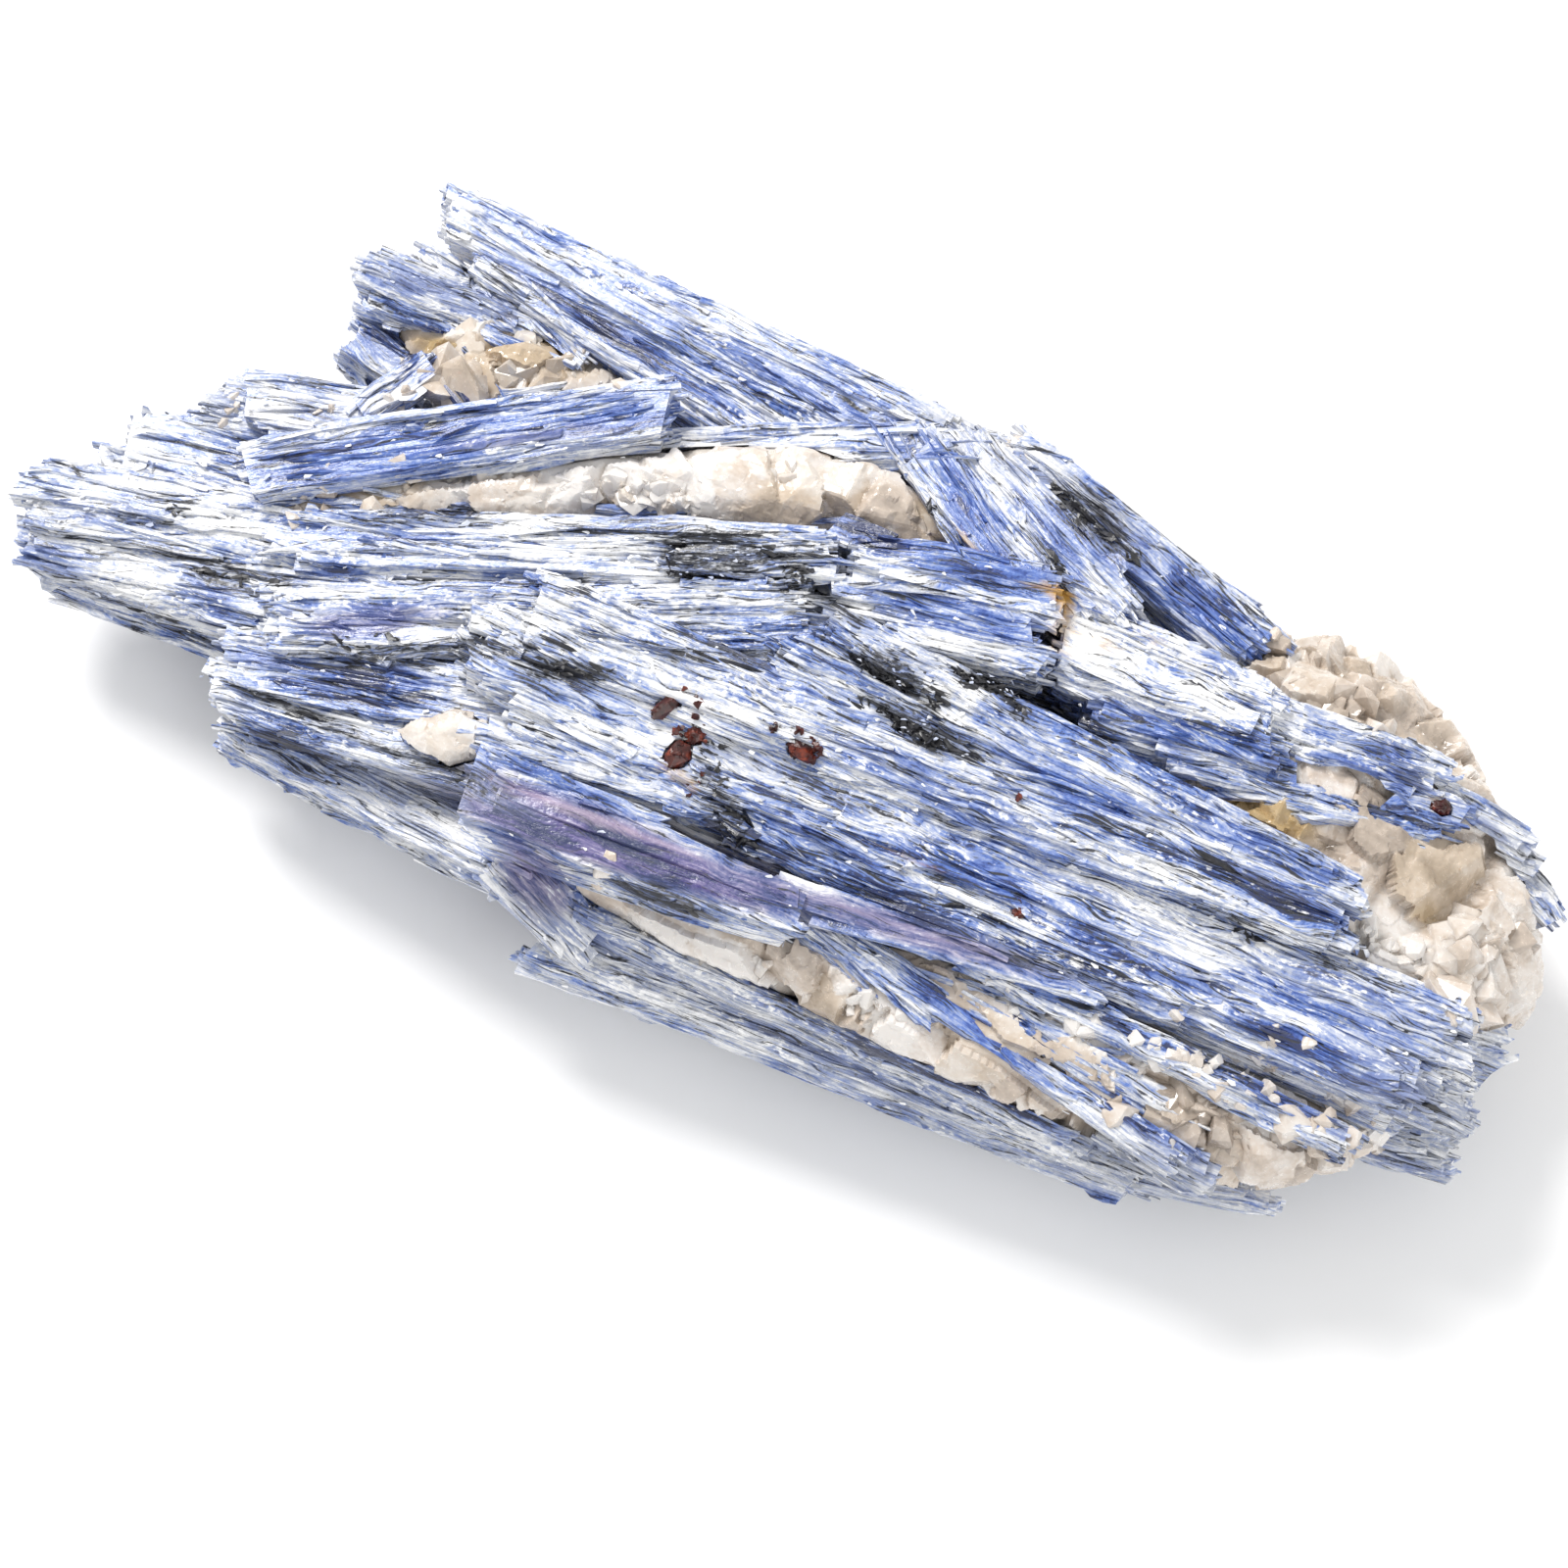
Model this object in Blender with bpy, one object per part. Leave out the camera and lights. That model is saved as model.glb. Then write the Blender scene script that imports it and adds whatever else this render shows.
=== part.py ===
"""A hand specimen of kyanite: sprays of blue kyanite blades grown together, with quartz
between them, grains of garnet and clots of black mica in the surface.

The specimen lies on its flattest side. X runs along its length, Z is up, and the origin
is at the middle of its underside. The tables are in millimetres, the objects in metres.
"""

import math
import random
from collections import namedtuple

import bmesh
import bpy
from mathutils import Euler, Matrix, Vector, noise
from mathutils.bvhtree import BVHTree

MM = 0.001
GAP = 0.42  # left between one mineral and the next
CENTRE = Vector((0.25, 1.3, 0.0))  # middle of the outline, in the coordinates of the tables

BLADE_OVERLAP = (1.25, 1.75)  # a blade's width, as a share of its place in the spray
BLADE_STAGGER = 0.16  # how far a blade's end may fall short, as a share of the spray,
BLADE_STAGGER_MOST = 5.0  # and at most
BLADE_ROLL = 0.16  # radians that a blade leans about its own length
BLADE_SKEW = 0.22  # lean of a blade's sides, as kyanite is triclinic
BREAK_SLANT = 0.45  # how oblique a broken end is, as a share of the blade's width
SPRAY_RELIEF = 1.8  # step between the highest and the lowest blade of a spray
SPRAY_CROWN = 1.6  # how far a spray's outer blades lie below its middle
EDGE_REACH = (0.75, 0.95)  # how far down its outer blades reach, as a share of its depth
INNER_REACH = (0.3, 0.5)  # and its inner ones
HEART_WIDTH = 0.84  # the innermost, thickest blade, as a share of the spray's width
FLAT_ENOUGH = math.radians(0.3)  # faces that meet at less than this are one flat face
BLADE_FACETS = 7700  # triangles kept in the joined blades
LUMP_FULLNESS = 0.6  # how full a lump of quartz is towards its ends, 1 being a ball
LUMP_TIP = 5  # how sharply its two ends are drawn out
GRAIN_DENTS = 0.22  # how uneven a grain of garnet or mica is, as a share of its size
GROUND_BLOCK = (300.0, 200.0, 40.0)  # cut away below the plane that the specimen rests on
ABOVE_ALL = 100.0  # a height over the whole specimen, to look down from

# A spray of parallel blades. Its start and end are on its upper side: x, y and height.
Spray = namedtuple("Spray", "name start end widths depth blades")

SPRAYS = (
    # The wide spray along the north edge, and the broken stubs at its end
    Spray("north_upper", (-59, 41, 26), (10, 31.6, 31), (5.2, 8), 12, 4),
    Spray("north_lower", (-54, 37.4, 25), (-3, 26, 29), (5, 8), 12, 3),
    Spray("north_fringe", (-51, 34.5, 23), (-36, 27.5, 25), (4, 3), 7, 2),
    Spray("north_stub", (-64.6, 30.2, 24), (-42, 29.6, 23), (7, 6), 10, 3),
    Spray("stub_crust", (-60, 35, 22), (-44, 31.5, 23), (3.5, 3), 9, 2),
    Spray("corner_stub", (-64, 25.2, 20), (-50, 21, 20), (5.4, 4), 8, 2),
    Spray("corner_foot", (-58.6, 20.4, 18), (-53, 15, 18), (4, 4), 8, 2),
    # The long blade that lies across the north side, and the ridge behind it
    Spray("crossing_blade", (-65.8, -0.4, 31), (-22.8, 22.4, 36), (6.4, 7), 8, 1),
    Spray("crossing_step", (-62, -0.6, 27), (-40, 11.4, 30.5), (3.2, 3.2), 8, 2),
    Spray("short_tablet", (-57, 12, 27.5), (-51.8, 20.4, 27.5), (3.6, 3.4), 4, 1),
    Spray("dark_splint", (-50.8, 20.4, 26.5), (-44.4, 16, 28), (1.6, 1.6), 4, 1),
    Spray("grey_tablet", (-70, 8, 26), (-48, 12.4, 27), (4.5, 4.5), 7, 2),
    Spray("ridge", (-46, 10.2, 30), (9, 30.8, 34), (3.2, 4.6), 12, 3),
    # The blunt west end
    Spray("west_crust", (-74, 11.6, 23), (-56, 15, 23), (3.6, 4), 8, 2),
    Spray("west_shoulder", (-77, 6.6, 23), (-58, 9.6, 24), (6.4, 6), 10, 3),
    Spray("west_upper", (-84.5, 0.6, 22), (-50, 2, 29), (8, 7), 10, 3),
    Spray("west_edge", (-80, 4, 18), (-58, 7, 19), (5, 5), 8, 2),
    Spray("west_middle", (-91.4, -9.8, 23), (-42, -3.5, 32), (9, 8), 12, 4),
    Spray("west_lower", (-90.6, -13, 20), (-42, -11.5, 33), (6, 9), 10, 3),
    Spray("west_rim", (-85, -14.5, 15), (-54, -15.5, 20), (4, 4), 6, 2),
    # The sprays that rise from the west end to the middle
    Spray("middle_upper", (-60, -6.5, 31), (2, 11.5, 38), (7, 8), 14, 4),
    Spray("middle_lower", (-58, -16, 31), (5, 4.5, 38), (7, 8), 14, 4),
    Spray("blue_block", (2, 11.2, 37.5), (27.6, 15.2, 38), (7, 9), 12, 4),
    Spray("blue_block_foot", (8, 7.2, 36.5), (28, 9.5, 36.5), (4, 4), 10, 2),
    Spray("loose_tablet", (0, 15.5, 35.5), (6.6, 15.2, 36), (4, 3.5), 8, 1),
    # The fan that spreads from the north apex
    Spray("fan_steep", (4.5, 29.6, 35), (24, 15, 37), (5, 6), 12, 3),
    Spray("fan_middle", (8.5, 32.4, 34), (34, 17.5, 36), (5, 7), 12, 3),
    Spray("fan_outer", (13, 35.6, 29), (51.5, 21.4, 29), (5, 6), 12, 4),
    Spray("fan_rim", (16, 34, 24), (53, 24.4, 23), (4, 4), 11, 2),
    Spray("fan_crust", (3, 33, 28), (19, 34, 28), (4.4, 4), 10, 3),
    Spray("white_block", (26, 13.5, 35), (56.5, 11.5, 35), (10, 9), 14, 4),
    Spray("white_block_foot", (34, 7, 34), (57, 8.6, 34), (3.5, 3), 9, 2),
    # The blades that reach over the quartz to the east end
    Spray("east_tablets", (54, 12.8, 32.5), (75, 13.6, 30.5), (5.5, 5), 8, 3),
    Spray("east_long", (43, 5, 33), (78, 9.4, 29.5), (3.2, 4), 8, 2),
    Spray("east_high", (68, 12.5, 29.5), (88, 11, 24), (4.5, 3.5), 9, 2),
    Spray("east_tip", (78, 13, 24), (92, 6.5, 20), (4, 3), 9, 2),
    # The long central sprays, from the middle to the east end
    Spray("centre_north", (0, 2, 38.5), (71, -4, 34), (9, 5), 14, 4),
    Spray("centre_crest", (-30, -7, 38.5), (71.5, -8, 34), (9, 5), 16, 5),
    Spray("centre_middle", (-34, -11.5, 37.5), (88, -13.6, 29), (9, 8), 16, 5),
    Spray("centre_south", (-28, -15, 36), (85.5, -20.4, 29), (8, 5.6), 16, 4),
    Spray("centre_foot", (-2, -19.3, 34), (58, -21, 31), (4.5, 4), 14, 3),
    # The sprays of the south-west corner
    Spray("southwest_upper", (-61, -20.8, 27), (-14, -15, 34.5), (6, 7), 12, 3),
    Spray("southwest_middle", (-62.6, -23.6, 24), (-16, -22.5, 33), (5, 8), 9, 4),
    Spray("southwest_lower", (-59, -24.6, 18), (-20, -30.4, 26), (4.5, 7), 8, 3),
    Spray("southwest_foot", (-50, -21.6, 12), (-6, -30.6, 16), (5, 6), 7, 2),
    Spray("southwest_bridge", (-28, -20.6, 33.6), (-3, -19.6, 34.6), (3, 3), 8, 2),
    # The violet blade on the south side, the slab that goes on from it and the stub below it
    Spray("violet_blade", (-27.4, -26.9, 34.6), (12.8, -28, 34), (8.4, 4), 7, 1),
    Spray("violet_slab", (9, -26, 33.5), (47, -25, 32), (3.4, 2), 8, 1),
    Spray("violet_stub", (-22, -30.6, 27), (-8, -36.4, 23), (6, 5), 7, 3),
    # The thin blades across the south quartz
    Spray("south_bright", (14, -27, 31.5), (62, -37, 26), (2.6, 3.2), 5, 2),
    Spray("south_long", (32, -25, 31.5), (79, -29, 28), (2, 2.6), 5, 2),
    Spray("south_short", (8, -25, 31.5), (31, -33.5, 28), (1.8, 1.8), 3.5, 1),
    Spray("south_dark", (47, -33.6, 26), (66, -36, 24), (3.6, 4), 7, 2),
    Spray("south_low", (-14, -34, 24), (54, -38, 21), (2.6, 3), 8, 3),
    # The layered flank under them
    Spray("south_flank", (-16, -37, 20), (60, -38.2, 18), (4.5, 4.5), 7, 4),
    Spray("south_foot", (-16, -32.4, 13), (60, -35, 13), (5, 5), 7, 3),
    Spray("south_tail", (42, -37.8, 15), (72, -34, 15), (5, 4), 6, 2),
    # The splintered east end
    Spray("east_end", (76, -18.4, 27), (90.8, -18, 21), (6, 5), 8, 3),
    Spray("east_end_low", (70, -22.6, 16), (88.6, -22, 16), (6, 5), 6, 3),
    Spray("east_end_north", (80, -11.5, 24), (91, -9, 19), (5, 4), 8, 2),
    # The underside
    Spray("bed_north", (-58, 24, 13), (46, 22, 14), (12, 13), 10, 2),
    Spray("bed_west", (-84, -4.6, 14), (-6, -2, 22), (14, 22), 11, 3),
    Spray("bed_core", (-34, -5, 29), (68, -8, 26), (20, 26), 16, 1),
    Spray("bed_northeast", (-34, 10, 22), (60, 10, 20), (18, 16), 14, 1),
    Spray("bed_middle_north", (-46, 5, 16), (74, 8, 12), (13, 15), 14, 3),
    Spray("bed_middle", (-52, -6, 19), (80, -5, 11), (12, 14), 19, 2),
    Spray("bed_middle_south", (-42, -16, 16), (66, -17, 12), (13, 14), 15, 3),
    Spray("bed_south", (-54, -16, 16), (62, -25, 13), (9, 14), 11, 3),
    Spray("bed_east", (34, -13, 12), (86, -9, 14), (17, 14), 8, 2),
)

# A lump of quartz follows a spine. Each of its points is x, y, the height of the lump's
# middle, and the lump's half width and half height there.
Lump = namedtuple("Lump", "spine rings sides roughness")

QUARTZ = {
    "quartz_north": Lump(
        ((-58, 27, 17, 3, 4), (-50, 25, 17, 8, 7), (-40, 23.5, 17.5, 9, 8), (-26, 26, 19, 4, 5)),
        9, 12, 0.9,
    ),
    "quartz_middle": Lump(
        (
            (-62, -3.2, 26, 2, 3), (-50, 2.6, 26, 4.2, 4.6), (-36, 8.6, 26.5, 4.2, 4.8),
            (-22, 15, 27.5, 4.8, 5.4), (-7, 20, 28.5, 5.4, 5.6), (5, 22, 29, 5, 4.6),
            (15, 20.6, 29, 2, 3),
        ),
        13, 12, 0.9,
    ),
    "quartz_east": Lump(
        (
            (38, 8, 22, 5, 6), (48, 11, 20, 18, 10.5), (58, 7.6, 19.5, 23, 11.5),
            (71, 0, 18.5, 21, 11.5), (84, -3.6, 17, 16.5, 9), (91, -5, 15, 8, 5),
        ),
        11, 18, 1.2,
    ),
    "quartz_south": Lump(
        (
            (-15, -29.5, 24, 2, 3), (-2, -30, 23.5, 4, 4.5), (15, -30, 23.5, 5, 5.5),
            (35, -30, 22, 7, 6.6), (55, -29.5, 19.5, 8, 8), (72, -29.5, 18, 6.5, 7.4),
            (80, -26, 17, 3, 4),
        ),
        14, 10, 0.9,
    ),
    "quartz_southwest": Lump(
        (
            (-36.6, -22.6, 28.6, 1.6, 2.4), (-31.5, -21.6, 29.4, 3.4, 2.8), (-27, -21, 30.6, 2, 2),
        ),
        8, 8, 0.5,
    ),
}

# A grain of garnet or a clot of mica, half sunk in the blades: x and y of its middle, its
# three half sizes and the way it is turned, in degrees about Z.
Grain = namedtuple("Grain", "place half_sizes turn")

GARNETS = {
    "garnet_1": Grain((-9.6, -11.4), (1.0, 2.6, 1.2), -28),
    "garnet_2": Grain((-5.6, -13.2), (1.3, 1.1, 1.1), 10),
    "garnet_3": Grain((-6.6, -16.0), (1.5, 2.1, 1.2), -20),
    "garnet_4": Grain((-2.4, -20.0), (1.4, 1.5, 1.1), 30),
    "garnet_5": Grain((6.2, -10.8), (2.2, 1.1, 1.1), -22),
    "garnet_6": Grain((35.4, -18.9), (1.0, 0.8, 0.8), 0),
    "garnet_7": Grain((75.2, 10.6), (1.2, 0.9, 1.0), 0),
}

MICAS = {
    "mica_middle": Grain((-9.2, 6.2), (7.6, 2.6, 1.4), 14),
    "mica_crest": Grain((11.4, 0.8), (4.4, 1.6, 1.4), -16),
    "mica_crest_east": Grain((23.4, 2.8), (4.6, 1.5, 1.3), -10),
    "mica_crest_south": Grain((16.2, -3.6), (4.2, 1.2, 1.2), -14),
    "mica_fan": Grain((26.8, 26.6), (3.0, 2.2, 1.4), -30),
    "mica_south": Grain((1.6, -20.0), (4.0, 1.2, 1.2), -38),
}

MINERALS = {
    # name: colour, roughness
    "kyanite": ((0.22, 0.33, 0.66), 0.45),
    "quartz": ((0.80, 0.76, 0.71), 0.35),
    "garnet": ((0.22, 0.04, 0.03), 0.40),
    "mica": ((0.03, 0.03, 0.03), 0.30),
}


def clear_scene():
    for obj in list(bpy.data.objects):
        bpy.data.objects.remove(obj, do_unlink=True)


def new_collection(name):
    collection = bpy.data.collections.new(name)
    bpy.context.scene.collection.children.link(collection)
    return collection


def mineral_material(name):
    colour, roughness = MINERALS[name]
    material = bpy.data.materials.new(name)
    material.use_nodes = True
    shader = material.node_tree.nodes["Principled BSDF"]
    shader.inputs["Base Color"].default_value = (*colour, 1.0)
    shader.inputs["Roughness"].default_value = roughness
    shader.inputs["Metallic"].default_value = 0.0
    material.diffuse_color = (*colour, 1.0)
    return material


def object_from(bm, name, collection):
    """A mesh object of this bmesh, which is in millimetres and in the tables' coordinates."""
    bmesh.ops.translate(bm, verts=bm.verts, vec=-CENTRE)
    bmesh.ops.scale(bm, verts=bm.verts, vec=(MM, MM, MM))
    bmesh.ops.recalc_face_normals(bm, faces=bm.faces)
    mesh = bpy.data.meshes.new(name)
    bm.to_mesh(mesh)
    bm.free()
    obj = bpy.data.objects.new(name, mesh)
    collection.objects.link(obj)
    return obj


def blade_object(name, start, end, widths, depth, roll, collection, rng):
    """A cube drawn out to a flat blade between two points on its upper face."""
    along = (end - start).normalized()
    across = Vector((0, 0, 1)).cross(along).normalized()
    across.rotate(Matrix.Rotation(roll, 3, along))
    up = along.cross(across)
    skew = rng.uniform(-BLADE_SKEW, BLADE_SKEW)
    slants = [rng.uniform(-BREAK_SLANT, BREAK_SLANT) for _ in range(4)]
    bm = bmesh.new()
    for vert in bmesh.ops.create_cube(bm, size=1.0)["verts"]:
        far, side, top = (c + 0.5 for c in vert.co)
        width = widths[int(far)]
        over, under = slants[2 * int(far):2 * int(far) + 2]
        vert.co = (
            start.lerp(end, far)
            + along * ((over * (side - 0.5) + under * (top - 1)) * width)
            + across * ((side - 0.5) * width + skew * (top - 1) * depth)
            + up * (top - 1) * depth
        )
    return object_from(bm, name, collection)


def spray_blades(spray, collection):
    """The blades of one spray: a thick one at its heart, with thinner ones along it."""
    rng = random.Random(spray.name)
    start, end = Vector(spray.start), Vector(spray.end)
    length = (end - start).length
    if spray.blades == 1:
        return [blade_object(spray.name, start, end, spray.widths, spray.depth, 0.0, collection, rng)]
    along = (end - start) / length
    across = Vector((0, 0, 1)).cross(along).normalized()
    stagger = min(BLADE_STAGGER * length, BLADE_STAGGER_MOST)
    sink = Vector((0, 0, SPRAY_RELIEF * 0.6))
    heart_widths = [width * HEART_WIDTH for width in spray.widths]
    made = [
        blade_object(
            spray.name + "_heart", start + along * (stagger / 2) - sink,
            end - along * (stagger / 2) - sink, heart_widths, spray.depth - SPRAY_RELIEF, 0.0,
            collection, rng,
        )
    ]
    longest = [rng.randrange(spray.blades) for _ in range(2)]
    for i in range(spray.blades):
        place = (i + rng.uniform(0.35, 0.65)) / spray.blades - 0.5
        drop = SPRAY_CROWN * (2 * place) ** 2 + rng.uniform(0, SPRAY_RELIEF)
        ends = []
        for point, width, way, full in zip((start, end), spray.widths, (1, -1), longest):
            short = 0.0 if i == full else rng.uniform(0.2, 1.0) * stagger
            ends.append(point + along * (way * short) + across * (place * width)
                        - Vector((0, 0, drop)))
        share = rng.uniform(*BLADE_OVERLAP) / spray.blades
        widths = [width * share for width in spray.widths]
        at_edge = i in (0, spray.blades - 1)
        reach = rng.uniform(*(EDGE_REACH if at_edge else INNER_REACH))
        depth = (spray.depth - drop) * reach
        roll = rng.uniform(-BLADE_ROLL, BLADE_ROLL)
        made.append(blade_object(f"{spray.name}_{i}", *ends, widths, depth, roll, collection, rng))
    return made


def spine_at(spine, share):
    """The spine's place, half width and half height at a share of its length."""
    at = max(0.0, share) * (len(spine) - 1)
    i = min(int(at), len(spine) - 2)
    here, there = Vector(spine[i]), Vector(spine[i + 1])
    return here.lerp(there, at - i)


def lump_mesh(lump, swell=0.0):
    """A ball stretched along a spine, with its surface broken into flats."""
    bm = bmesh.new()
    bmesh.ops.create_uvsphere(bm, u_segments=lump.sides, v_segments=lump.rings, radius=1.0)
    first, last = Vector(lump.spine[0][:3]), Vector(lump.spine[-1][:3])
    along = (last - first).normalized()
    across = Vector((0, 0, 1)).cross(along).normalized()
    up = along.cross(across)
    for vert in bm.verts:
        ball = vert.co.copy()
        row = spine_at(lump.spine, 0.5 + 0.5 * ball.z)
        ring = math.sqrt(max(0.0, 1.0 - ball.z ** 2)) ** LUMP_FULLNESS
        turn = math.atan2(ball.y, ball.x)
        place = Vector(row[:3])
        rough = lump.roughness * noise.noise(place * 0.37 + Vector((turn, 2 * turn, 0)))
        half_width, half_height = (row[3] + swell + rough), (row[4] + swell + rough)
        vert.co = (
            place
            + along * (ball.z ** LUMP_TIP * (1.0 + swell))
            + across * (math.cos(turn) * half_width * ring)
            + up * (math.sin(turn) * half_height * ring)
        )
    return bm


def grain_mesh(grain, place, subdivisions, swell=0.0):
    """An angular grain: a coarse ball with its corners moved in and out."""
    bm = bmesh.new()
    bmesh.ops.create_icosphere(bm, subdivisions=subdivisions, radius=1.0)
    turned = Euler((0, 0, math.radians(grain.turn))).to_matrix()
    for vert in bm.verts:
        dent = 1.0 + GRAIN_DENTS * noise.noise(vert.co * 1.7 + place)
        sizes = [half * dent + swell for half in grain.half_sizes]
        vert.co = turned @ Vector([c * s for c, s in zip(vert.co, sizes)]) + place
    return bm


def apply_modifiers(obj):
    graph = bpy.context.evaluated_depsgraph_get()
    made = bpy.data.meshes.new_from_object(obj.evaluated_get(graph))
    obj.modifiers.clear()
    obj.data = made


def boolean(obj, operation, others):
    """Joins the objects of a collection to this one, or cuts them out of it."""
    modifier = obj.modifiers.new(operation.lower(), "BOOLEAN")
    modifier.operation = operation
    modifier.operand_type = "COLLECTION"
    modifier.collection = others
    modifier.solver = "EXACT"
    apply_modifiers(obj)


def drop_smallest_facets(obj, facets):
    """Merges the smallest steps between blades until this many facets are left."""
    modifier = obj.modifiers.new("fewer_facets", "DECIMATE")
    modifier.ratio = min(1.0, facets / len(obj.data.polygons))
    apply_modifiers(obj)


def body_from(vert, seen):
    """All the vertices joined to this one, which are also added to those seen."""
    body, waiting = [], [vert]
    seen.add(vert)
    while waiting:
        here = waiting.pop()
        body.append(here)
        for edge in here.link_edges:
            there = edge.other_vert(here)
            if there not in seen:
                seen.add(there)
                waiting.append(there)
    return body


def keep_largest_body(obj):
    """Drops the crumbs that a cut leaves, and the walls of any sealed hollow."""
    bm = bmesh.new()
    bm.from_mesh(obj.data)
    seen = set()
    bodies = [body_from(vert, seen) for vert in bm.verts if vert not in seen]
    bodies.sort(key=len)
    crumbs = [vert for body in bodies[:-1] for vert in body]
    bmesh.ops.delete(bm, geom=crumbs, context="VERTS")
    bmesh.ops.dissolve_limit(bm, angle_limit=FLAT_ENOUGH, verts=bm.verts, edges=bm.edges)
    bmesh.ops.triangulate(bm, faces=bm.faces)
    bm.to_mesh(obj.data)
    bm.free()


def below_ground(collection):
    """A block under the plane that the specimen rests on."""
    bm = bmesh.new()
    bmesh.ops.create_cube(bm, size=1.0)
    bmesh.ops.scale(bm, verts=bm.verts, vec=GROUND_BLOCK)
    bmesh.ops.translate(bm, verts=bm.verts, vec=(0, 0, -GROUND_BLOCK[2] / 2))
    return object_from(bm, "ground_cutter", collection)


def build_quartz(parts, ground_cutters, kyanite_cutters):
    """Each lump of quartz, and a slightly larger copy that makes room for it."""
    material = mineral_material("quartz")
    for name, lump in QUARTZ.items():
        obj = object_from(lump_mesh(lump), name, parts)
        obj.data.materials.append(material)
        boolean(obj, "DIFFERENCE", ground_cutters)
        keep_largest_body(obj)
        object_from(lump_mesh(lump, GAP), name + "_cutter", kyanite_cutters)


def height_of(tree, x, y):
    """How high the blades stand at this place, in millimetres."""
    top = Vector((x, y, ABOVE_ALL)) - CENTRE
    hit = tree.ray_cast(top * MM, Vector((0, 0, -1)))[0]
    return hit.z / MM


def build_grains(table, mineral, subdivisions, tree, parts, kyanite_cutters):
    """Grains half sunk in the blades."""
    material = mineral_material(mineral)
    for name, grain in table.items():
        x, y = grain.place
        place = Vector((x, y, height_of(tree, x, y)))
        obj = object_from(grain_mesh(grain, place, subdivisions), name, parts)
        obj.data.materials.append(material)
        object_from(grain_mesh(grain, place, subdivisions, GAP), name + "_cutter", kyanite_cutters)


def join_blades(parts):
    """All the blades of all the sprays in one solid."""
    blades = new_collection("blades")
    made = [blade for spray in SPRAYS for blade in spray_blades(spray, blades)]
    first = made[0]
    blades.objects.unlink(first)
    parts.objects.link(first)
    boolean(first, "UNION", blades)
    keep_largest_body(first)
    for blade in made[1:]:
        bpy.data.objects.remove(blade)
    first.name = "kyanite_blades"
    first.data.materials.clear()
    first.data.materials.append(mineral_material("kyanite"))
    return first


def main():
    clear_scene()
    parts = new_collection("kyanite_specimen")
    ground_cutters = new_collection("ground_cutters")
    kyanite_cutters = new_collection("kyanite_cutters")
    kyanite = join_blades(parts)
    below_ground(ground_cutters)
    boolean(kyanite, "DIFFERENCE", ground_cutters)
    build_quartz(parts, ground_cutters, kyanite_cutters)
    tree = BVHTree.FromObject(kyanite, bpy.context.evaluated_depsgraph_get())
    build_grains(GARNETS, "garnet", 1, tree, parts, kyanite_cutters)
    build_grains(MICAS, "mica", 2, tree, parts, kyanite_cutters)
    boolean(kyanite, "DIFFERENCE", kyanite_cutters)
    keep_largest_body(kyanite)
    drop_smallest_facets(kyanite, BLADE_FACETS)
    for collection in (ground_cutters, kyanite_cutters):
        collection.hide_render = True
        for obj in collection.objects:
            obj.hide_render = True
            obj.display_type = "WIRE"


main()
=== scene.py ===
"""The looks of a hand specimen of kyanite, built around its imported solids.

Blue laths of kyanite are laid along the sprays of the solid, with granular quartz, grains
of garnet and books of black mica between them. Lengths are in millimetres in the tables
and functions, and in metres in the meshes.
"""

import math
from collections import namedtuple

import bmesh
import bpy
import numpy as np
from bpy.props import FloatProperty, FloatVectorProperty, IntProperty, PointerProperty
from mathutils import Matrix, Vector
from mathutils.bvhtree import BVHTree
from mathutils.kdtree import KDTree


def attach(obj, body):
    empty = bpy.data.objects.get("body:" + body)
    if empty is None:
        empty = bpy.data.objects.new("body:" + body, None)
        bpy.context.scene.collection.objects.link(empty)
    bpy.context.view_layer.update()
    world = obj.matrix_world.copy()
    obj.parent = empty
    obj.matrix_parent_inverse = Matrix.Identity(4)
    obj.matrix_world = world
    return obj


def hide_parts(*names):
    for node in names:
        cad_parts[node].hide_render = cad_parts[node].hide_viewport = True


bl_info = {
    "name": "Kyanite specimen",
    "version": (1, 0, 0),
    "blender": (4, 5, 0),
    "location": "View3D > Sidebar > Kyanite",
    "description": "Lays kyanite laths, quartz, garnet and mica over the solids of a specimen",
    "category": "Add Mesh",
}

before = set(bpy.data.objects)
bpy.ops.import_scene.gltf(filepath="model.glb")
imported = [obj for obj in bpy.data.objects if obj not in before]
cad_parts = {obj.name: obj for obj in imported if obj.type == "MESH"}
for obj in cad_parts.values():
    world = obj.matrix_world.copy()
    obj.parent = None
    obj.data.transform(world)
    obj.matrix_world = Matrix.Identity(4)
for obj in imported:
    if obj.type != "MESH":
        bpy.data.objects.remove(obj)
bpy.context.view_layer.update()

MM = 0.001
CENTRE = np.array((0.25, 1.3, 0.0))  # where the origin lies in the tables' coordinates

# A spray of parallel blades: start and end on its upper side, widths there, depth, and how
# much of its surface is frayed into fibres.
Spray = namedtuple("Spray", "start end widths depth frayed", defaults=(1.0,))

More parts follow.
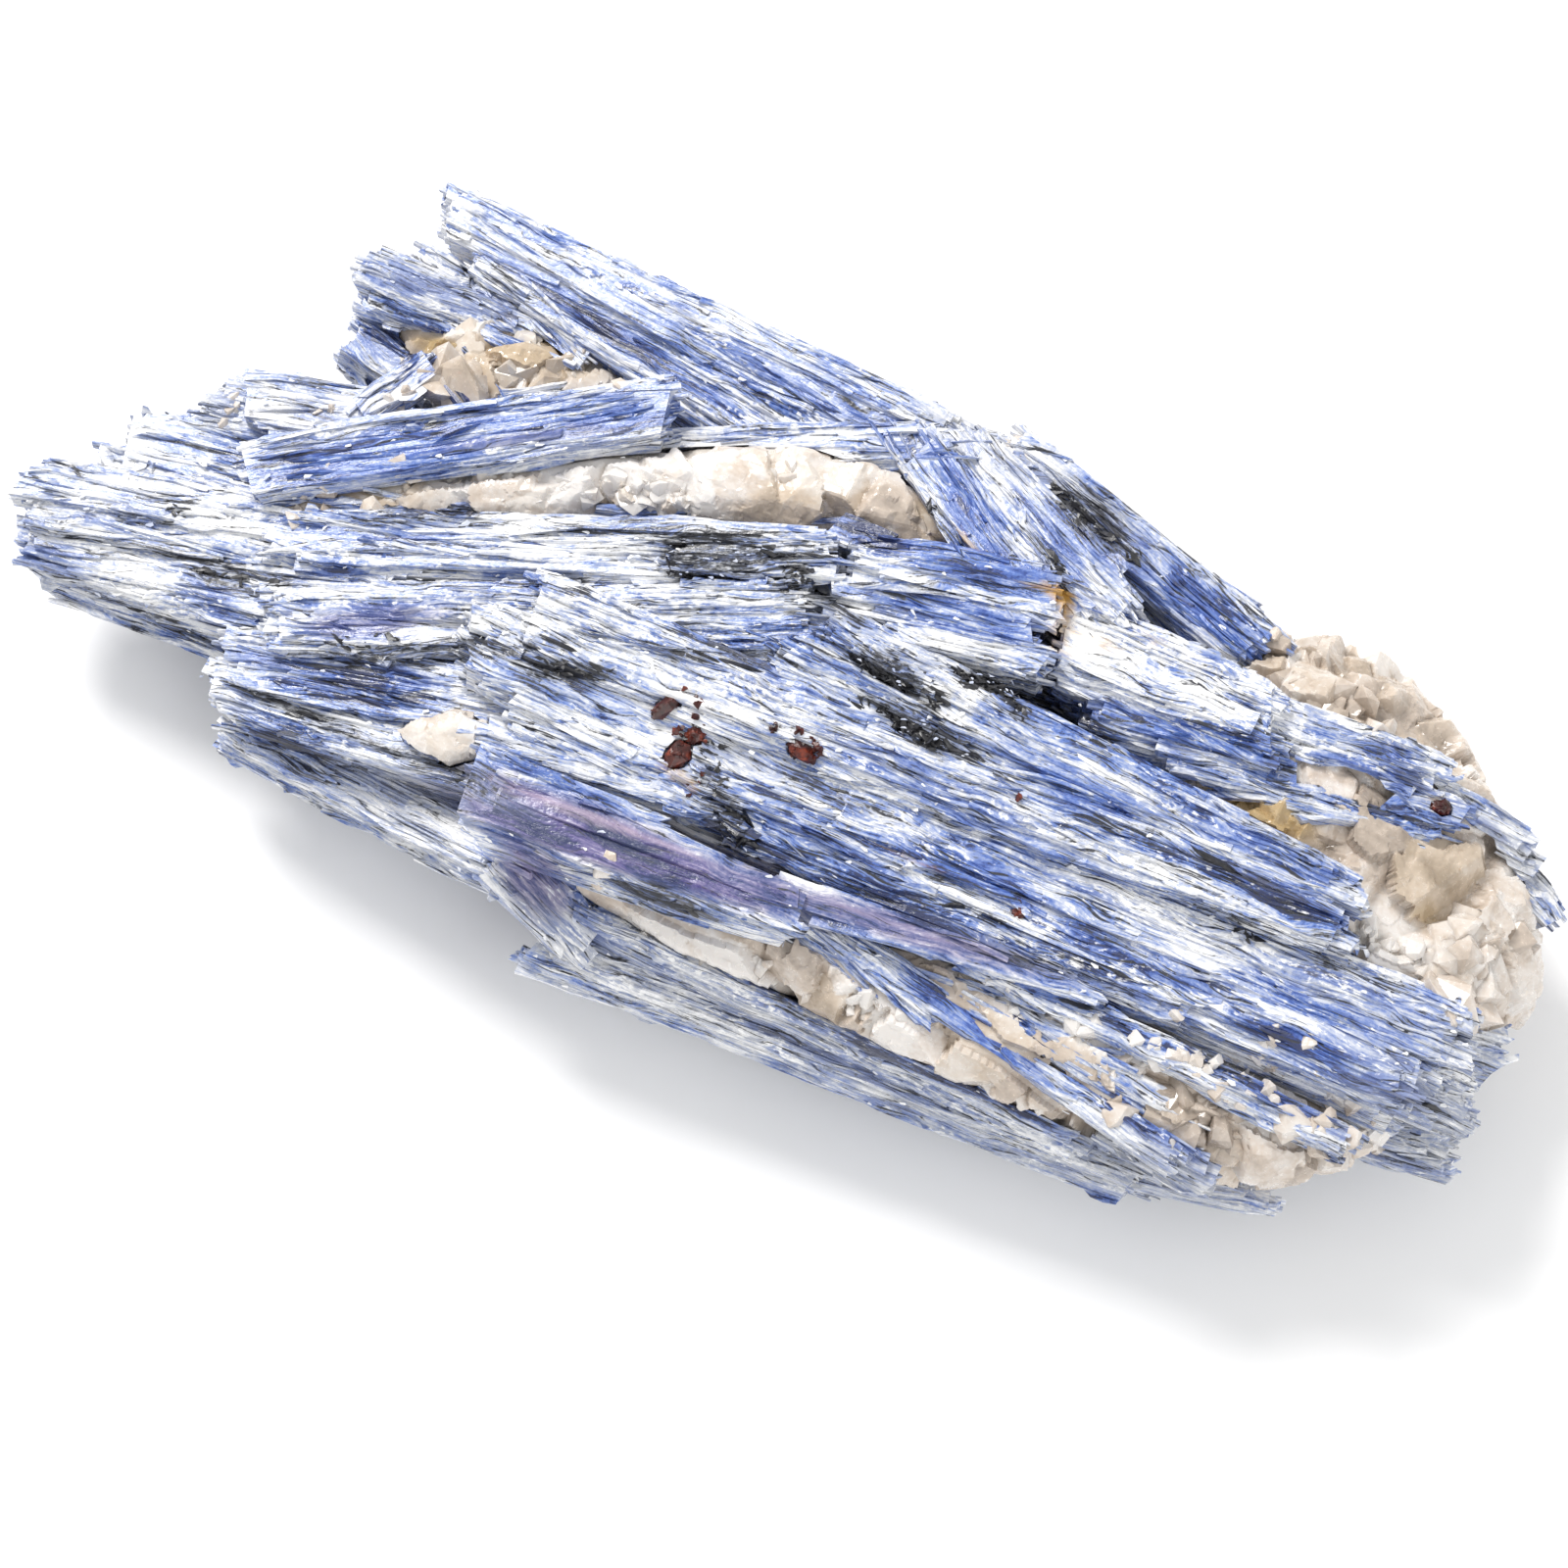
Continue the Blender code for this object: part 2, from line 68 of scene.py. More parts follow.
SPRAYS = [
    Spray(*row) for row in (
        # The wide spray along the north edge, and the broken stubs at its end
        ((-59, 41, 26), (10, 31.6, 31), (5.2, 8), 12),
        ((-54, 37.4, 25), (-3, 26, 29), (5, 8), 12),
        ((-51, 34.5, 23), (-36, 27.5, 25), (4, 3), 7),
        ((-64.6, 30.2, 24), (-42, 29.6, 23), (7, 6), 10),
        ((-60, 35, 22), (-44, 31.5, 23), (3.5, 3), 9),
        ((-64, 25.2, 20), (-50, 21, 20), (5.4, 4), 8),
        ((-58.6, 20.4, 18), (-53, 15, 18), (4, 4), 8),
        # The long blade that lies across the north side, and the ridge behind it
        ((-65.8, -0.4, 31), (-22.8, 22.4, 36), (6.4, 7), 8, 0.3),
        ((-62, -0.6, 27), (-40, 11.4, 30.5), (3.2, 3.2), 8),
        ((-57, 12, 27.5), (-51.8, 20.4, 27.5), (3.6, 3.4), 4, 0.3),
        ((-50.8, 20.4, 26.5), (-44.4, 16, 28), (1.6, 1.6), 4, 0.2),
        ((-70, 8, 26), (-48, 12.4, 27), (4.5, 4.5), 7, 0.4),
        ((-46, 10.2, 30), (9, 30.8, 34), (3.2, 4.6), 12),
        # The blunt west end
        ((-74, 11.6, 23), (-56, 15, 23), (3.6, 4), 8),
        ((-77, 6.6, 23), (-58, 9.6, 24), (6.4, 6), 10),
        ((-84.5, 0.6, 22), (-50, 2, 29), (8, 7), 10),
        ((-80, 4, 18), (-58, 7, 19), (5, 5), 8),
        ((-91.4, -9.8, 23), (-42, -3.5, 32), (9, 8), 12),
        ((-90.6, -13, 20), (-42, -11.5, 33), (6, 9), 10),
        ((-85, -14.5, 15), (-54, -15.5, 20), (4, 4), 6),
        # The sprays that rise from the west end to the middle
        ((-60, -6.5, 31), (2, 11.5, 38), (7, 8), 14),
        ((-58, -16, 31), (5, 4.5, 38), (7, 8), 14),
        ((2, 11.2, 37.5), (27.6, 15.2, 38), (7, 9), 12, 0.5),
        ((8, 7.2, 36.5), (28, 9.5, 36.5), (4, 4), 10),
        ((0, 15.5, 35.5), (6.6, 15.2, 36), (4, 3.5), 8, 0.2),
        # The fan that spreads from the north apex
        ((4.5, 29.6, 35), (24, 15, 37), (5, 6), 12),
        ((8.5, 32.4, 34), (34, 17.5, 36), (5, 7), 12),
        ((13, 35.6, 29), (51.5, 21.4, 29), (5, 6), 12),
        ((16, 34, 24), (53, 24.4, 23), (4, 4), 11),
        ((3, 33, 28), (19, 34, 28), (4.4, 4), 10),
        ((26, 13.5, 35), (56.5, 11.5, 35), (10, 9), 14),
        ((34, 7, 34), (57, 8.6, 34), (3.5, 3), 9),
        # The blades that reach over the quartz to the east end
        ((54, 12.8, 32.5), (75, 13.6, 30.5), (5.5, 5), 8),
        ((43, 5, 33), (78, 9.4, 29.5), (3.2, 4), 8),
        ((68, 12.5, 29.5), (88, 11, 24), (4.5, 3.5), 9),
        ((78, 13, 24), (92, 6.5, 20), (4, 3), 9),
        # The long central sprays, from the middle to the east end
        ((0, 2, 38.5), (71, -4, 34), (9, 5), 14),
        ((-30, -7, 38.5), (71.5, -8, 34), (9, 5), 16),
        ((-34, -11.5, 37.5), (88, -13.6, 29), (9, 8), 16),
        ((-28, -15, 36), (85.5, -20.4, 29), (8, 5.6), 16),
        ((-2, -19.3, 34), (58, -21, 31), (4.5, 4), 14),
        # The sprays of the south-west corner
        ((-61, -20.8, 27), (-14, -15, 34.5), (6, 7), 12),
        ((-62.6, -23.6, 24), (-16, -22.5, 33), (5, 8), 9),
        ((-59, -24.6, 18), (-20, -30.4, 26), (4.5, 7), 8),
        ((-50, -21.6, 12), (-6, -30.6, 16), (5, 6), 7),
        ((-28, -20.6, 33.6), (-3, -19.6, 34.6), (3, 3), 8),
        # The violet blade on the south side, the slab that goes on from it and the stub
        ((-27.4, -26.9, 34.6), (12.8, -28, 34), (8.4, 4), 7, 0.05),
        ((9, -26, 33.5), (47, -25, 32), (3.4, 2), 8, 0.1),
        ((-22, -30.6, 27), (-8, -36.4, 23), (6, 5), 7, 0.3),
        # The thin blades across the south quartz
        ((14, -27, 31.5), (62, -37, 26), (2.6, 3.2), 5),
        ((32, -25, 31.5), (79, -29, 28), (2, 2.6), 5),
        ((8, -25, 31.5), (31, -33.5, 28), (1.8, 1.8), 3.5),
        ((47, -33.6, 26), (66, -36, 24), (3.6, 4), 7),
        ((-14, -34, 24), (54, -38, 21), (2.6, 3), 8),
        # The layered flank under them
        ((-16, -37, 20), (60, -38.2, 18), (4.5, 4.5), 7),
        ((-16, -32.4, 13), (60, -35, 13), (5, 5), 7),
        ((42, -37.8, 15), (72, -34, 15), (5, 4), 6),
        # The splintered east end
        ((76, -18.4, 27), (90.8, -18, 21), (6, 5), 8),
        ((70, -22.6, 16), (88.6, -22, 16), (6, 5), 6),
        ((80, -11.5, 24), (91, -9, 19), (5, 4), 8),
        # The underside
        ((-58, 24, 13), (46, 22, 14), (12, 13), 10),
        ((-84, -4.6, 14), (-6, -2, 22), (14, 22), 11),
        ((-34, -5, 29), (68, -8, 26), (20, 26), 16),
        ((-34, 10, 22), (60, 10, 20), (18, 16), 14),
        ((-46, 5, 16), (74, 8, 12), (13, 15), 14),
        ((-52, -6, 19), (80, -5, 11), (12, 14), 19),
        ((-42, -16, 16), (66, -17, 12), (13, 14), 15),
        ((-54, -16, 16), (62, -25, 13), (9, 14), 11),
        ((34, -13, 12), (86, -9, 14), (17, 14), 8),
    )
]

# A patch of one finish: x, y, half length, half width, its angle in degrees and strength.
PATCHES = {
    "blue": (
        (-38, 37.5, 16, 1.6, -6, 0.5), (-20, 33, 26, 2.4, -8, 0.4), (-42, 33.5, 8, 1.1, -10, 0.9),
        (-28, 29.6, 22, 1.1, -14, 0.7), (-8, 31.5, 16, 1.8, -10, 0.6), (-55, 27.5, 7, 1, 3, 0.7),
        (-52, 29.8, 6, 0.6, 5, 0.7), (-58, 20.5, 4, 2, -20, 0.6), (-52, 19, 2.5, 1.4, 58, 0.7),
        (-44, 11.5, 25, 3, 30, 1.0), (-56, 10.6, 7, 0.9, 8, 0.6), (-66, 4.5, 3, 1, 20, 0.5),
        (-74, -2.4, 2.6, 1.6, 20, 1.0), (-70, -4.6, 7, 0.8, 8, 0.6), (-77, -8.4, 4, 1, 10, 0.8),
        (-83, -12, 3, 1.4, 15, 0.7), (-84, -18, 4.5, 1.6, 5, 0.9), (-64, -16.8, 4, 2.2, 0, 0.8),
        (-52, -9, 4, 1.5, 20, 0.7), (-54, -4, 8, 0.8, 12, 0.7), (-44, -1.5, 6, 0.8, 12, 0.9),
        (-32, -2, 4, 1.2, 15, 1.0), (-32, 9, 3, 0.7, 10, 0.9), (-38, -6, 8, 1.6, 28, 0.5),
        (-47, -12.5, 7, 2.2, 28, 0.8), (15, 18.5, 10, 2.2, 12, 1.0), (17, 12, 10, 1.8, 8, 0.9),
        (12, 25, 9, 1.8, -42, 0.9), (24, 23.5, 9, 1.2, -38, 0.8), (33, 24.5, 12, 2, -18, 0.7),
        (44, 22, 8, 1.7, -20, 1.0), (38, 26.5, 8, 0.8, -15, 0.7), (46, 16.8, 2.5, 1, 0, 0.8),
        (35, 18.5, 3, 1.6, -15, 0.8), (47, 8.4, 11, 1.4, 6, 1.0), (40, 7, 6, 1, -15, 0.9),
        (61, 13.6, 4, 1.6, -10, 1.0), (69, 13, 3, 1.5, -40, 0.9), (66, 11.2, 7, 0.8, 4, 0.9),
        (60, 9.3, 5, 1.2, 15, 0.8), (80, 9.6, 5, 1, -2, 0.8), (78, 11.3, 1.6, 1, 0, 0.9),
        (36, -2.5, 8, 1.8, -2, 1.0), (58, -1.5, 11, 1.4, -4, 0.8), (62, -5.5, 9, 1, -3, 0.8),
        (22, -8.5, 14, 1.8, -6, 0.6), (38, -11.5, 8, 1.6, -6, 0.9), (28, -15.5, 9, 1.6, -5, 1.0),
        (75, -12.6, 8, 0.9, -5, 0.6), (70, -16.8, 8, 1.6, -2, 1.0), (78, -19.5, 5, 1.4, -3, 0.6),
        (74, -21.8, 11, 1.8, -5, 1.0), (50, -18.5, 12, 1.4, -3, 0.7), (5, -3, 14, 1.0, 5, 0.5),
        (-42, -18, 8, 1.4, 8, 0.7), (-55, -20.5, 6, 1.4, 10, 0.5), (-48, -22, 8, 0.8, 5, 0.6),
        (-19, -22.4, 9, 0.9, -2, 0.9), (-19, -32, 3, 1.6, -40, 0.7), (-9, -36.5, 4, 1.6, -35, 0.5),
        (35, -32.5, 8, 1.6, -22, 1.0), (60, -37.6, 6, 1, -8, 0.9), (72, -28.6, 7, 1.0, -8, 0.9),
        (66, -26.8, 5, 0.6, -6, 0.7), (54, -22.8, 6, 0.8, -8, 0.7), (22, -32.4, 3, 0.8, -30, 0.7),
        (16, -28.8, 6, 0.6, -35, 0.5), (20, -42.2, 10, 0.7, -4, 0.7), (-5, -39.5, 10, 0.6, -4, 0.5),
        (91, -21.5, 2, 1, 0, 0.6), (88, -30.5, 4, 0.9, 0, 0.5), (12, -18.5, 9, 0.9, -8, 0.7),
    ),
    "navy": (
        (-33, 30.6, 14, 0.8, -14, 0.8), (-12, 29.2, 14, 0.7, -12, 0.6),
        (-46, 34.4, 8, 0.5, -12, 0.6), (-53, 24.4, 9, 0.7, -2, 0.9), (-49, 28.8, 5, 0.5, 0, 0.5),
        (-56, 20, 5, 2, -15, 0.7), (-4, 1.8, 12, 1.5, 22, 0.6), (3, 18.5, 5, 2.2, -15, 0.9),
        (8, 12, 4, 1.5, 10, 0.4), (38, 4, 9, 1.4, -20, 0.9), (67, 7.6, 9, 1.2, 4, 0.8),
        (52, -5.8, 16, 1.0, -2, 0.9), (64, -7, 6, 0.6, -3, 0.8), (45, -19.2, 8, 0.9, -5, 0.9),
        (66, -21.3, 7, 0.8, 0, 0.7), (40, -21.7, 12, 0.7, 5, 1.0), (18, -21.8, 18, 1.2, -3, 1.0),
        (28, -17.2, 8, 0.6, -6, 0.5), (-48, -28.8, 6.5, 1.8, -3, 1.0), (-43, -19.5, 8, 1.3, 6, 0.7),
        (-46, -22.5, 8, 1, 5, 0.5), (-18, -28.7, 9, 0.8, 0, 0.5), (-10, -27.2, 12, 0.5, 0, 0.5),
        (41, -31, 8, 0.6, -25, 0.6), (28, -29.6, 2.5, 0.5, 0, 0.9), (55, -35.8, 5, 1.0, -5, 1.0),
        (58, -27.3, 14, 0.6, -6, 0.9), (30, -39.4, 16, 0.6, -3, 1.0), (15, -37, 10, 0.5, -3, 0.8),
        (-4, -31, 5, 1.2, 0, 0.8), (8, -15.6, 8, 0.6, -6, 0.8), (24, -12.6, 10, 0.5, -6, 0.5),
    ),
    "frost": (
        (-52, 37.5, 5, 1.5, 10, 0.5), (-24, 35, 4, 1.2, -10, 0.6), (-15, 31, 6, 1, -10, 0.5),
        (-13, 26.6, 8, 1.6, 10, 0.8), (-50, 32.5, 7, 1.6, 0, 0.6), (-55, 26, 6, 0.8, 2, 0.5),
        (-56, 17, 3, 1.2, -20, 0.6), (-54, 15.8, 5.5, 1.7, 58, 0.8), (-52, 7, 8, 1, 30, 0.3),
        (-30, 16.6, 12, 1.2, 24, 0.5), (-62, 8, 7, 2.2, 5, 0.6), (-67, -2, 7, 2.4, 5, 0.9),
        (-72, -4, 9, 2, 5, 0.5), (-63, -6.5, 6, 2, 10, 0.9), (-80, -10.5, 5, 1.2, 5, 0.6),
        (-76, -16, 6, 1.5, 5, 0.7), (-70, -17.5, 8, 2.2, 0, 0.8), (-55, -6.5, 8, 1.2, 8, 0.8),
        (-42, -7.5, 12, 2.4, 28, 0.7), (-36, 1, 10, 1.5, 22, 0.6), (-30, 3.5, 8, 2, 20, 0.7),
        (-33, -5.5, 8, 2, 28, 0.6), (-22, 6, 8, 2, 10, 0.6), (-20, 0, 10, 2, 15, 0.7),
        (-5, 13.5, 6, 1, 12, 0.6), (-3, 8, 5, 2, 0, 0.7), (-20, -5, 12, 2.4, 18, 0.7),
        (0, -5, 10, 2.4, 0, 0.9), (5, 15.5, 4, 1.2, 10, 0.5), (22, 15.5, 5, 0.7, 8, 0.6),
        (15, 8, 12, 2, -3, 0.6), (20, 3.5, 3, 1.6, 0, 0.9), (26, 8.2, 2.4, 1, 0, 1.0),
        (13, -0.5, 4, 1, 0, 0.6), (17, 27, 8, 0.8, -42, 0.7), (21, 25, 10, 0.7, -40, 0.7),
        (47, 23.5, 3, 0.8, -10, 0.5), (35, 15, 8, 3.5, -5, 1.0), (45, 14.5, 11, 3.4, -4, 1.0),
        (44, 10.5, 9, 1.5, 0, 0.8), (66, 16.2, 8, 1, -6, 0.8), (66, 12.5, 2, 1.5, -30, 0.6),
        (74, 13.5, 4, 2, -15, 0.8), (58, 11.5, 2, 2, 0, 0.7), (30, -7.5, 10, 1, -2, 0.7),
        (48, -8.3, 12, 0.8, -2, 0.7), (22, -3, 8, 1, -3, 0.5), (48, -0.8, 8, 0.7, -3, 0.5),
        (10, -9.5, 8, 2, -5, 0.6), (20, -14, 9, 1.2, -6, 0.8), (45, -12.5, 8, 1.4, -4, 0.7),
        (60, -12.5, 14, 1, -3, 0.7), (78, -10, 6, 0.8, 0, 0.6), (36, -18.5, 5, 1, 0, 0.8),
        (50, -21, 14, 0.8, 3, 0.7), (-58, -24, 4, 1.2, 0, 0.7), (-35, -17.5, 7, 1.2, 8, 0.5),
        (-13.6, -31.5, 0.8, 2.2, 0, 0.8), (5, -37.8, 14, 0.7, -4, 0.7), (35, -41.5, 12, 0.7, -4, 0.7),
        (48, -43, 6, 1.2, -5, 0.8), (86, -13.5, 4, 1.6, -8, 0.6), (88, -19, 3, 2, 0, 0.6),
        (-25, -9, 16, 1.2, 16, 0.5), (25, -18.4, 12, 0.6, -4, 0.5), (-15, -15, 16, 1.2, 3, 0.5),
        (-76, -8, 13, 8, 8, 0.45), (-55, -12, 12, 8, 12, 0.4), (-28, -1, 20, 7, 16, 0.35),
        (0, -42, 30, 1.6, -4, 0.5), (40, -12, 30, 6, -4, 0.2),
    ),
    "violet": (
        (-47, 17.3, 4, 1.1, -38, 0.9), (-38, 14.2, 9, 0.8, 30, 0.5), (-46, -12.5, 6, 1.8, 28, 0.6),
        (-41, -10, 4, 1, 30, 0.4), (-10, -27.8, 20, 2, 2, 1.0), (4, -26, 9, 2, 3, 0.9),
        (24, -24.6, 16, 1.6, 3, 0.8), (-17, -34, 5, 3, -35, 0.8), (3, 18.5, 5, 2.2, -15, 0.4),
        (-15, -25.2, 13, 1.6, 0, 1.0),
    ),
    "mauve": (
        (-14, -24.9, 14, 0.5, 0, 0.8), (-11, -26, 13, 0.3, -1, 0.5), (25, -24.3, 12, 0.5, 3, 0.5),
        (-18, -33.4, 4, 0.7, -35, 0.5),
    ),
    "grey": (
        (-52, 30, 10, 3.5, 5, 0.5), (-73, 6, 3, 3, 0, 0.8), (-80, -4, 4, 4, 30, 0.4),
        (-86, -14, 2, 4, 0, 0.5), (3, 8, 5, 1.6, 5, 0.8), (12, 32.5, 8, 2, -15, 0.7),
        (24, 31.5, 9, 1, -15, 0.7), (74, 12, 4, 2, -15, 0.4), (86, 8, 6, 1.5, -25, 0.8),
        (62, -13.5, 20, 1.5, -3, 0.4), (-57, -27, 2.5, 1.4, 0, 0.8), (-36, -29.5, 8, 2, -8, 0.8),
        (-42, -25.5, 8, 0.8, -3, 0.6), (60, -41.5, 10, 3.5, -5, 0.8), (70, -38, 7, 1.6, 15, 0.7),
        (50, -45, 10, 1, -2, 0.7), (-10, -39.5, 10, 0.8, -6, 0.6), (88, -17, 4, 6, 0, 0.6),
        (90, -24, 3, 8, 0, 0.6), (-30, 16.6, 12, 1.2, 24, 0.5), (-62, 8, 7, 2.2, 5, 0.4),
        (-2, -12.5, 4, 1.6, 0, 0.8), (-30, -34.5, 12, 1.2, -12, 0.5), (62, 16.6, 10, 1, -6, 0.4),
        (14, -41.5, 40, 3.2, -4, 0.55), (82, -27, 7, 9, 0, 0.5), (-78, -12, 12, 9, 10, 0.3),
    ),
    "dark": (
        (-74, -6.6, 3, 0.8, 8, 0.7), (-71.5, -7.8, 1.2, 0.6, 0, 0.9), (-62, -11.8, 8, 0.7, 6, 1.0),
        (-63, -14, 5, 0.8, -3, 1.0), (-78, -14, 8, 0.6, 12, 0.6), (-70, -20.8, 13, 0.6, -3, 0.8),
        (-81, -20, 4, 0.8, -5, 0.6), (-41, 4, 10, 0.9, 26, 0.9), (-33, 7.2, 8, 0.6, 28, 0.7),
        (-46, 0.5, 6, 0.5, 20, 0.9), (-34, 4, 4, 1, 10, 0.6), (-27, 6.5, 4, 0.6, 15, 0.9),
        (-12, 9, 7, 3, 10, 1.0), (-4, 13, 8, 1.6, 12, 0.5), (-35, -12, 14, 1.5, 25, 0.9),
        (-22, -10, 6, 1.6, 20, 1.0), (-8, -2.5, 12, 1, 22, 0.8), (12, 3, 5, 2, -8, 1.0),
        (18, -2, 8, 1.6, -8, 0.9), (22, 5.8, 5, 1.2, 0, 0.9), (26.5, 4.5, 1.6, 2.2, 0, 1.0),
        (23, 22.5, 5, 0.8, -38, 0.8), (27, 28.5, 6, 2.2, -25, 1.0), (32.5, 26, 1.6, 1.6, 0, 0.9),
        (16, 30, 5, 0.5, -40, 0.5), (42, 11.5, 12, 0.4, 0, 0.5), (52, 13, 4, 0.4, -10, 0.5),
        (37, 3.5, 8, 1, -28, 0.6), (58, 8, 6, 0.6, 8, 0.6), (60, 6.2, 5, 0.4, 0, 0.7),
        (58, -10.3, 8, 0.7, 0, 0.8), (70, -11.3, 5, 0.7, 0, 0.8), (12, -13, 8, 1, -4, 0.8),
        (6, -12.5, 4, 1.2, 0, 0.6), (-45, -25.6, 12, 0.9, -2, 0.9), (-30, -26, 8, 2, -3, 0.8),
        (-43, -16, 9, 1, 20, 0.9), (-38, -31.5, 12, 0.6, -12, 0.5), (-48, -31.5, 6, 0.8, -12, 0.6),
        (30, -37, 16, 0.4, -4, 0.7), (10, -35.8, 10, 0.4, -3, 0.5), (66, -36.5, 5, 0.6, -5, 0.6),
        (86, -23, 3, 1, 0, 0.6), (-3, -31, 6, 1.2, 0, 1.0), (-1, -18, 5, 2.0, -40, 0.9),
        (45, -23, 12, 0.5, 4, 0.7), (35, -20.4, 16, 0.5, -2, 0.6), (0, 8, 5, 1.4, 0, 0.7),
        (52, -5, 14, 0.5, -2, 0.6), (-14, 11.6, 9, 0.5, 14, 0.7), (12, -6.5, 14, 0.5, -2, 0.4),
    ),
    "stain": (
        (-52, 22.4, 2, 0.7, -5, 1.0), (-54, 34, 1, 1, 0, 0.4), (26.5, 18.4, 2, 1, -10, 1.0),
        (28, 14.5, 1.2, 3, 0, 0.6), (33, 14.5, 2, 1, -10, 0.6), (38.5, 17.5, 1, 1.5, 0, 0.5),
        (14, 21, 2, 0.5, -30, 0.6), (22, -16.8, 4, 0.4, -5, 0.5), (75, 10.6, 1, 1, 0, 0.5),
        (-6, -17, 3, 1, -20, 0.5),
    ),
}
TONES = (("blue", "frost", "navy"), ("violet", "mauve", "grey"), ("stain", "random", "dark"))

# The same for the quartz: white with bubbles, grey and clear, or amber with iron.
QUARTZ_PATCHES = {
    "milky": (
        (-34, 11, 9, 3, 25, 0.9), (-18, 17, 10, 4, 27, 0.9), (-3, 23, 5, 2, 15, 0.6),
        (75, -6.5, 4, 3, 0, 0.9), (62, -26, 3, 2, -10, 1.0), (2, -36, 8, 2, -4, 0.8),
        (24, -35, 5, 2, -8, 0.7), (45, -28, 14, 2, -6, 0.7), (46, 2, 6, 3, 0, 0.7),
        (-18, -20, 8, 2, -2, 0.8), (55, 6.6, 4, 1, 0, 0.8), (-48, 28, 10, 2, -4, 0.5),
    ),
    "smoky_and_hollow_shade": (
        (-4, 18, 7, 2.5, 15, 0.8), (8, 22, 6, 2, -10, 0.6), (64, 2, 8, 3, -4, 0.8),
        (72, 4, 2, 3, 0, 0.7), (71, -23.5, 3, 2, -10, 1.0), (62, -33, 9, 2, 0, 0.8),
        (78, 3, 1.5, 3, 70, 0.7), (8, -32, 8, 2.5, -10, 0.4), (72, -35, 5, 2, 10, 0.7),
        (87, -3, 1, 3, 15, 0.8), (60, 19, 10, 4, -10, 0.3),
    ),
    "amber": (
        (-44, 22, 6, 3, 20, 0.3), (-50, 2, 8, 2, 35, 0.25), (56, 2.6, 6, 2.4, 0, 0.9),
        (-6, -18.5, 4, 2, -20, 0.9), (-36, 26, 6, 2, 0, 0.3), (78, -2.5, 1.6, 1.6, 0, 0.3),
        (10, 22.5, 3, 1.6, -20, 0.4), (-52, 22, 3, 1.2, 0, 0.9),
    ),
}

PATCH_LEVEL = 30.0  # the height that the patches' places are given at
SIGHT_RISE = 0.325  # how far a place seems to move, from the front, for each mm of height
SIGHT_WAY = np.array((-0.358, 0.934))  # and the way it moves


def linear(colour):
    """An sRGB hex colour as the linear values that Blender works in."""
    parts = [int(colour[i:i + 2], 16) / 255 for i in (1, 3, 5)]
    return tuple(p / 12.92 if p <= 0.04045 else ((p + 0.055) / 1.055) ** 2.4 for p in parts)


def colour_setting(name, description, colour):
    return FloatVectorProperty(name=name, description=description, subtype="COLOR", size=3,
                               min=0.0, max=1.0, default=linear(colour))


def length_setting(name, description, millimetres):
    return FloatProperty(name=name, description=description, subtype="DISTANCE", unit="LENGTH",
                         min=0.0, precision=5, default=millimetres * MM)


class KyaniteLook(bpy.types.PropertyGroup):
    """Sizes and colours of the kyanite laths."""

    fine_laths: IntProperty(
        name="Fine laths", description="How many narrow laths are tried over the solid",
        default=12300, min=0,
    )
    broad_laths: IntProperty(
        name="Broad laths", description="How many wide laths are tried over the solid",
        default=2600, min=0,
    )
    plates: IntProperty(
        name="Plates", description="How many flat cleavage plates are tried over the solid",
        default=1300, min=0,
    )
    splinters: IntProperty(
        name="Splinters", description="How many loose splinters are tried over the solid",
        default=2300, min=0,
    )
    scales: IntProperty(
        name="Scales", description="How many crushed white scales are tried over the solid",
        default=9000, min=0,
    )
    fine_width: length_setting("Fine lath width", "Usual width of a narrow lath", 0.5)
    broad_width: length_setting("Broad lath width", "Usual width of a wide lath", 1.2)
    plate_width: length_setting("Plate width", "Usual width of a cleavage plate", 3.0)
    fine_length: length_setting("Fine lath length", "Usual length of a narrow lath", 13.0)
    broad_length: length_setting("Broad lath length", "Usual length of a wide lath", 24.0)
    plate_length: length_setting("Plate length", "Usual length of a cleavage plate", 20.0)
    navy: colour_setting("Navy", "The darkest streaks, where a blade is thick", "#1E2A55")
    deep: colour_setting("Deep blue", "Thick clear blades", "#2F4A92")
    blue: colour_setting("Blue", "Saturated blue of a clear blade", "#5574BB")
    middle: colour_setting("Mid blue", "Usual blue of the sprays", "#98A5C6")
    pale: colour_setting("Pale blue", "Blue-grey of thin laths", "#C6CAD5")
    frost: colour_setting("Frost", "White of crushed cleavage and fibre ends", "#EDEDED")
    violet: colour_setting("Violet", "Violet-grey of the smooth southern blade", "#504A80")
    lilac: colour_setting("Lilac", "Paler streaks of that blade", "#8A80A3")
    mauve: colour_setting("Mauve", "Pinkish upper band of that blade", "#AE9BB2")
    grey: colour_setting("Grey", "Neutral grey of weathered fibres", "#A2A4A9")
    # This colour is painted shade: the black of the gaps where the laths part
    seam: colour_setting("Seam", "Black hairlines where the laths part", "#23252E")
    stain: colour_setting("Iron stain", "Ochre of limonite in the cracks", "#C0913A")


class QuartzLook(bpy.types.PropertyGroup):
    """Sizes and colours of the quartz."""

    grain: length_setting("Grain", "Usual size of a grain of quartz", 6.0)
    crumb: length_setting("Crumb", "Usual size of a crumb between the grains", 1.8)
    milky: colour_setting("Milky", "White of grains full of tiny bubbles", "#EEE9E4")
    warm: colour_setting("Warm", "Beige of slightly stained grains", "#D2C4B6")
    amber: colour_setting("Amber", "Grains with iron stain between them", "#C0A67A")
    # This grey also paints the shade in the hollows between the grains
    smoky_and_hollow_shade: colour_setting("Smoky and hollow shade", "Grey of the clearer grains", "#9A8E83")


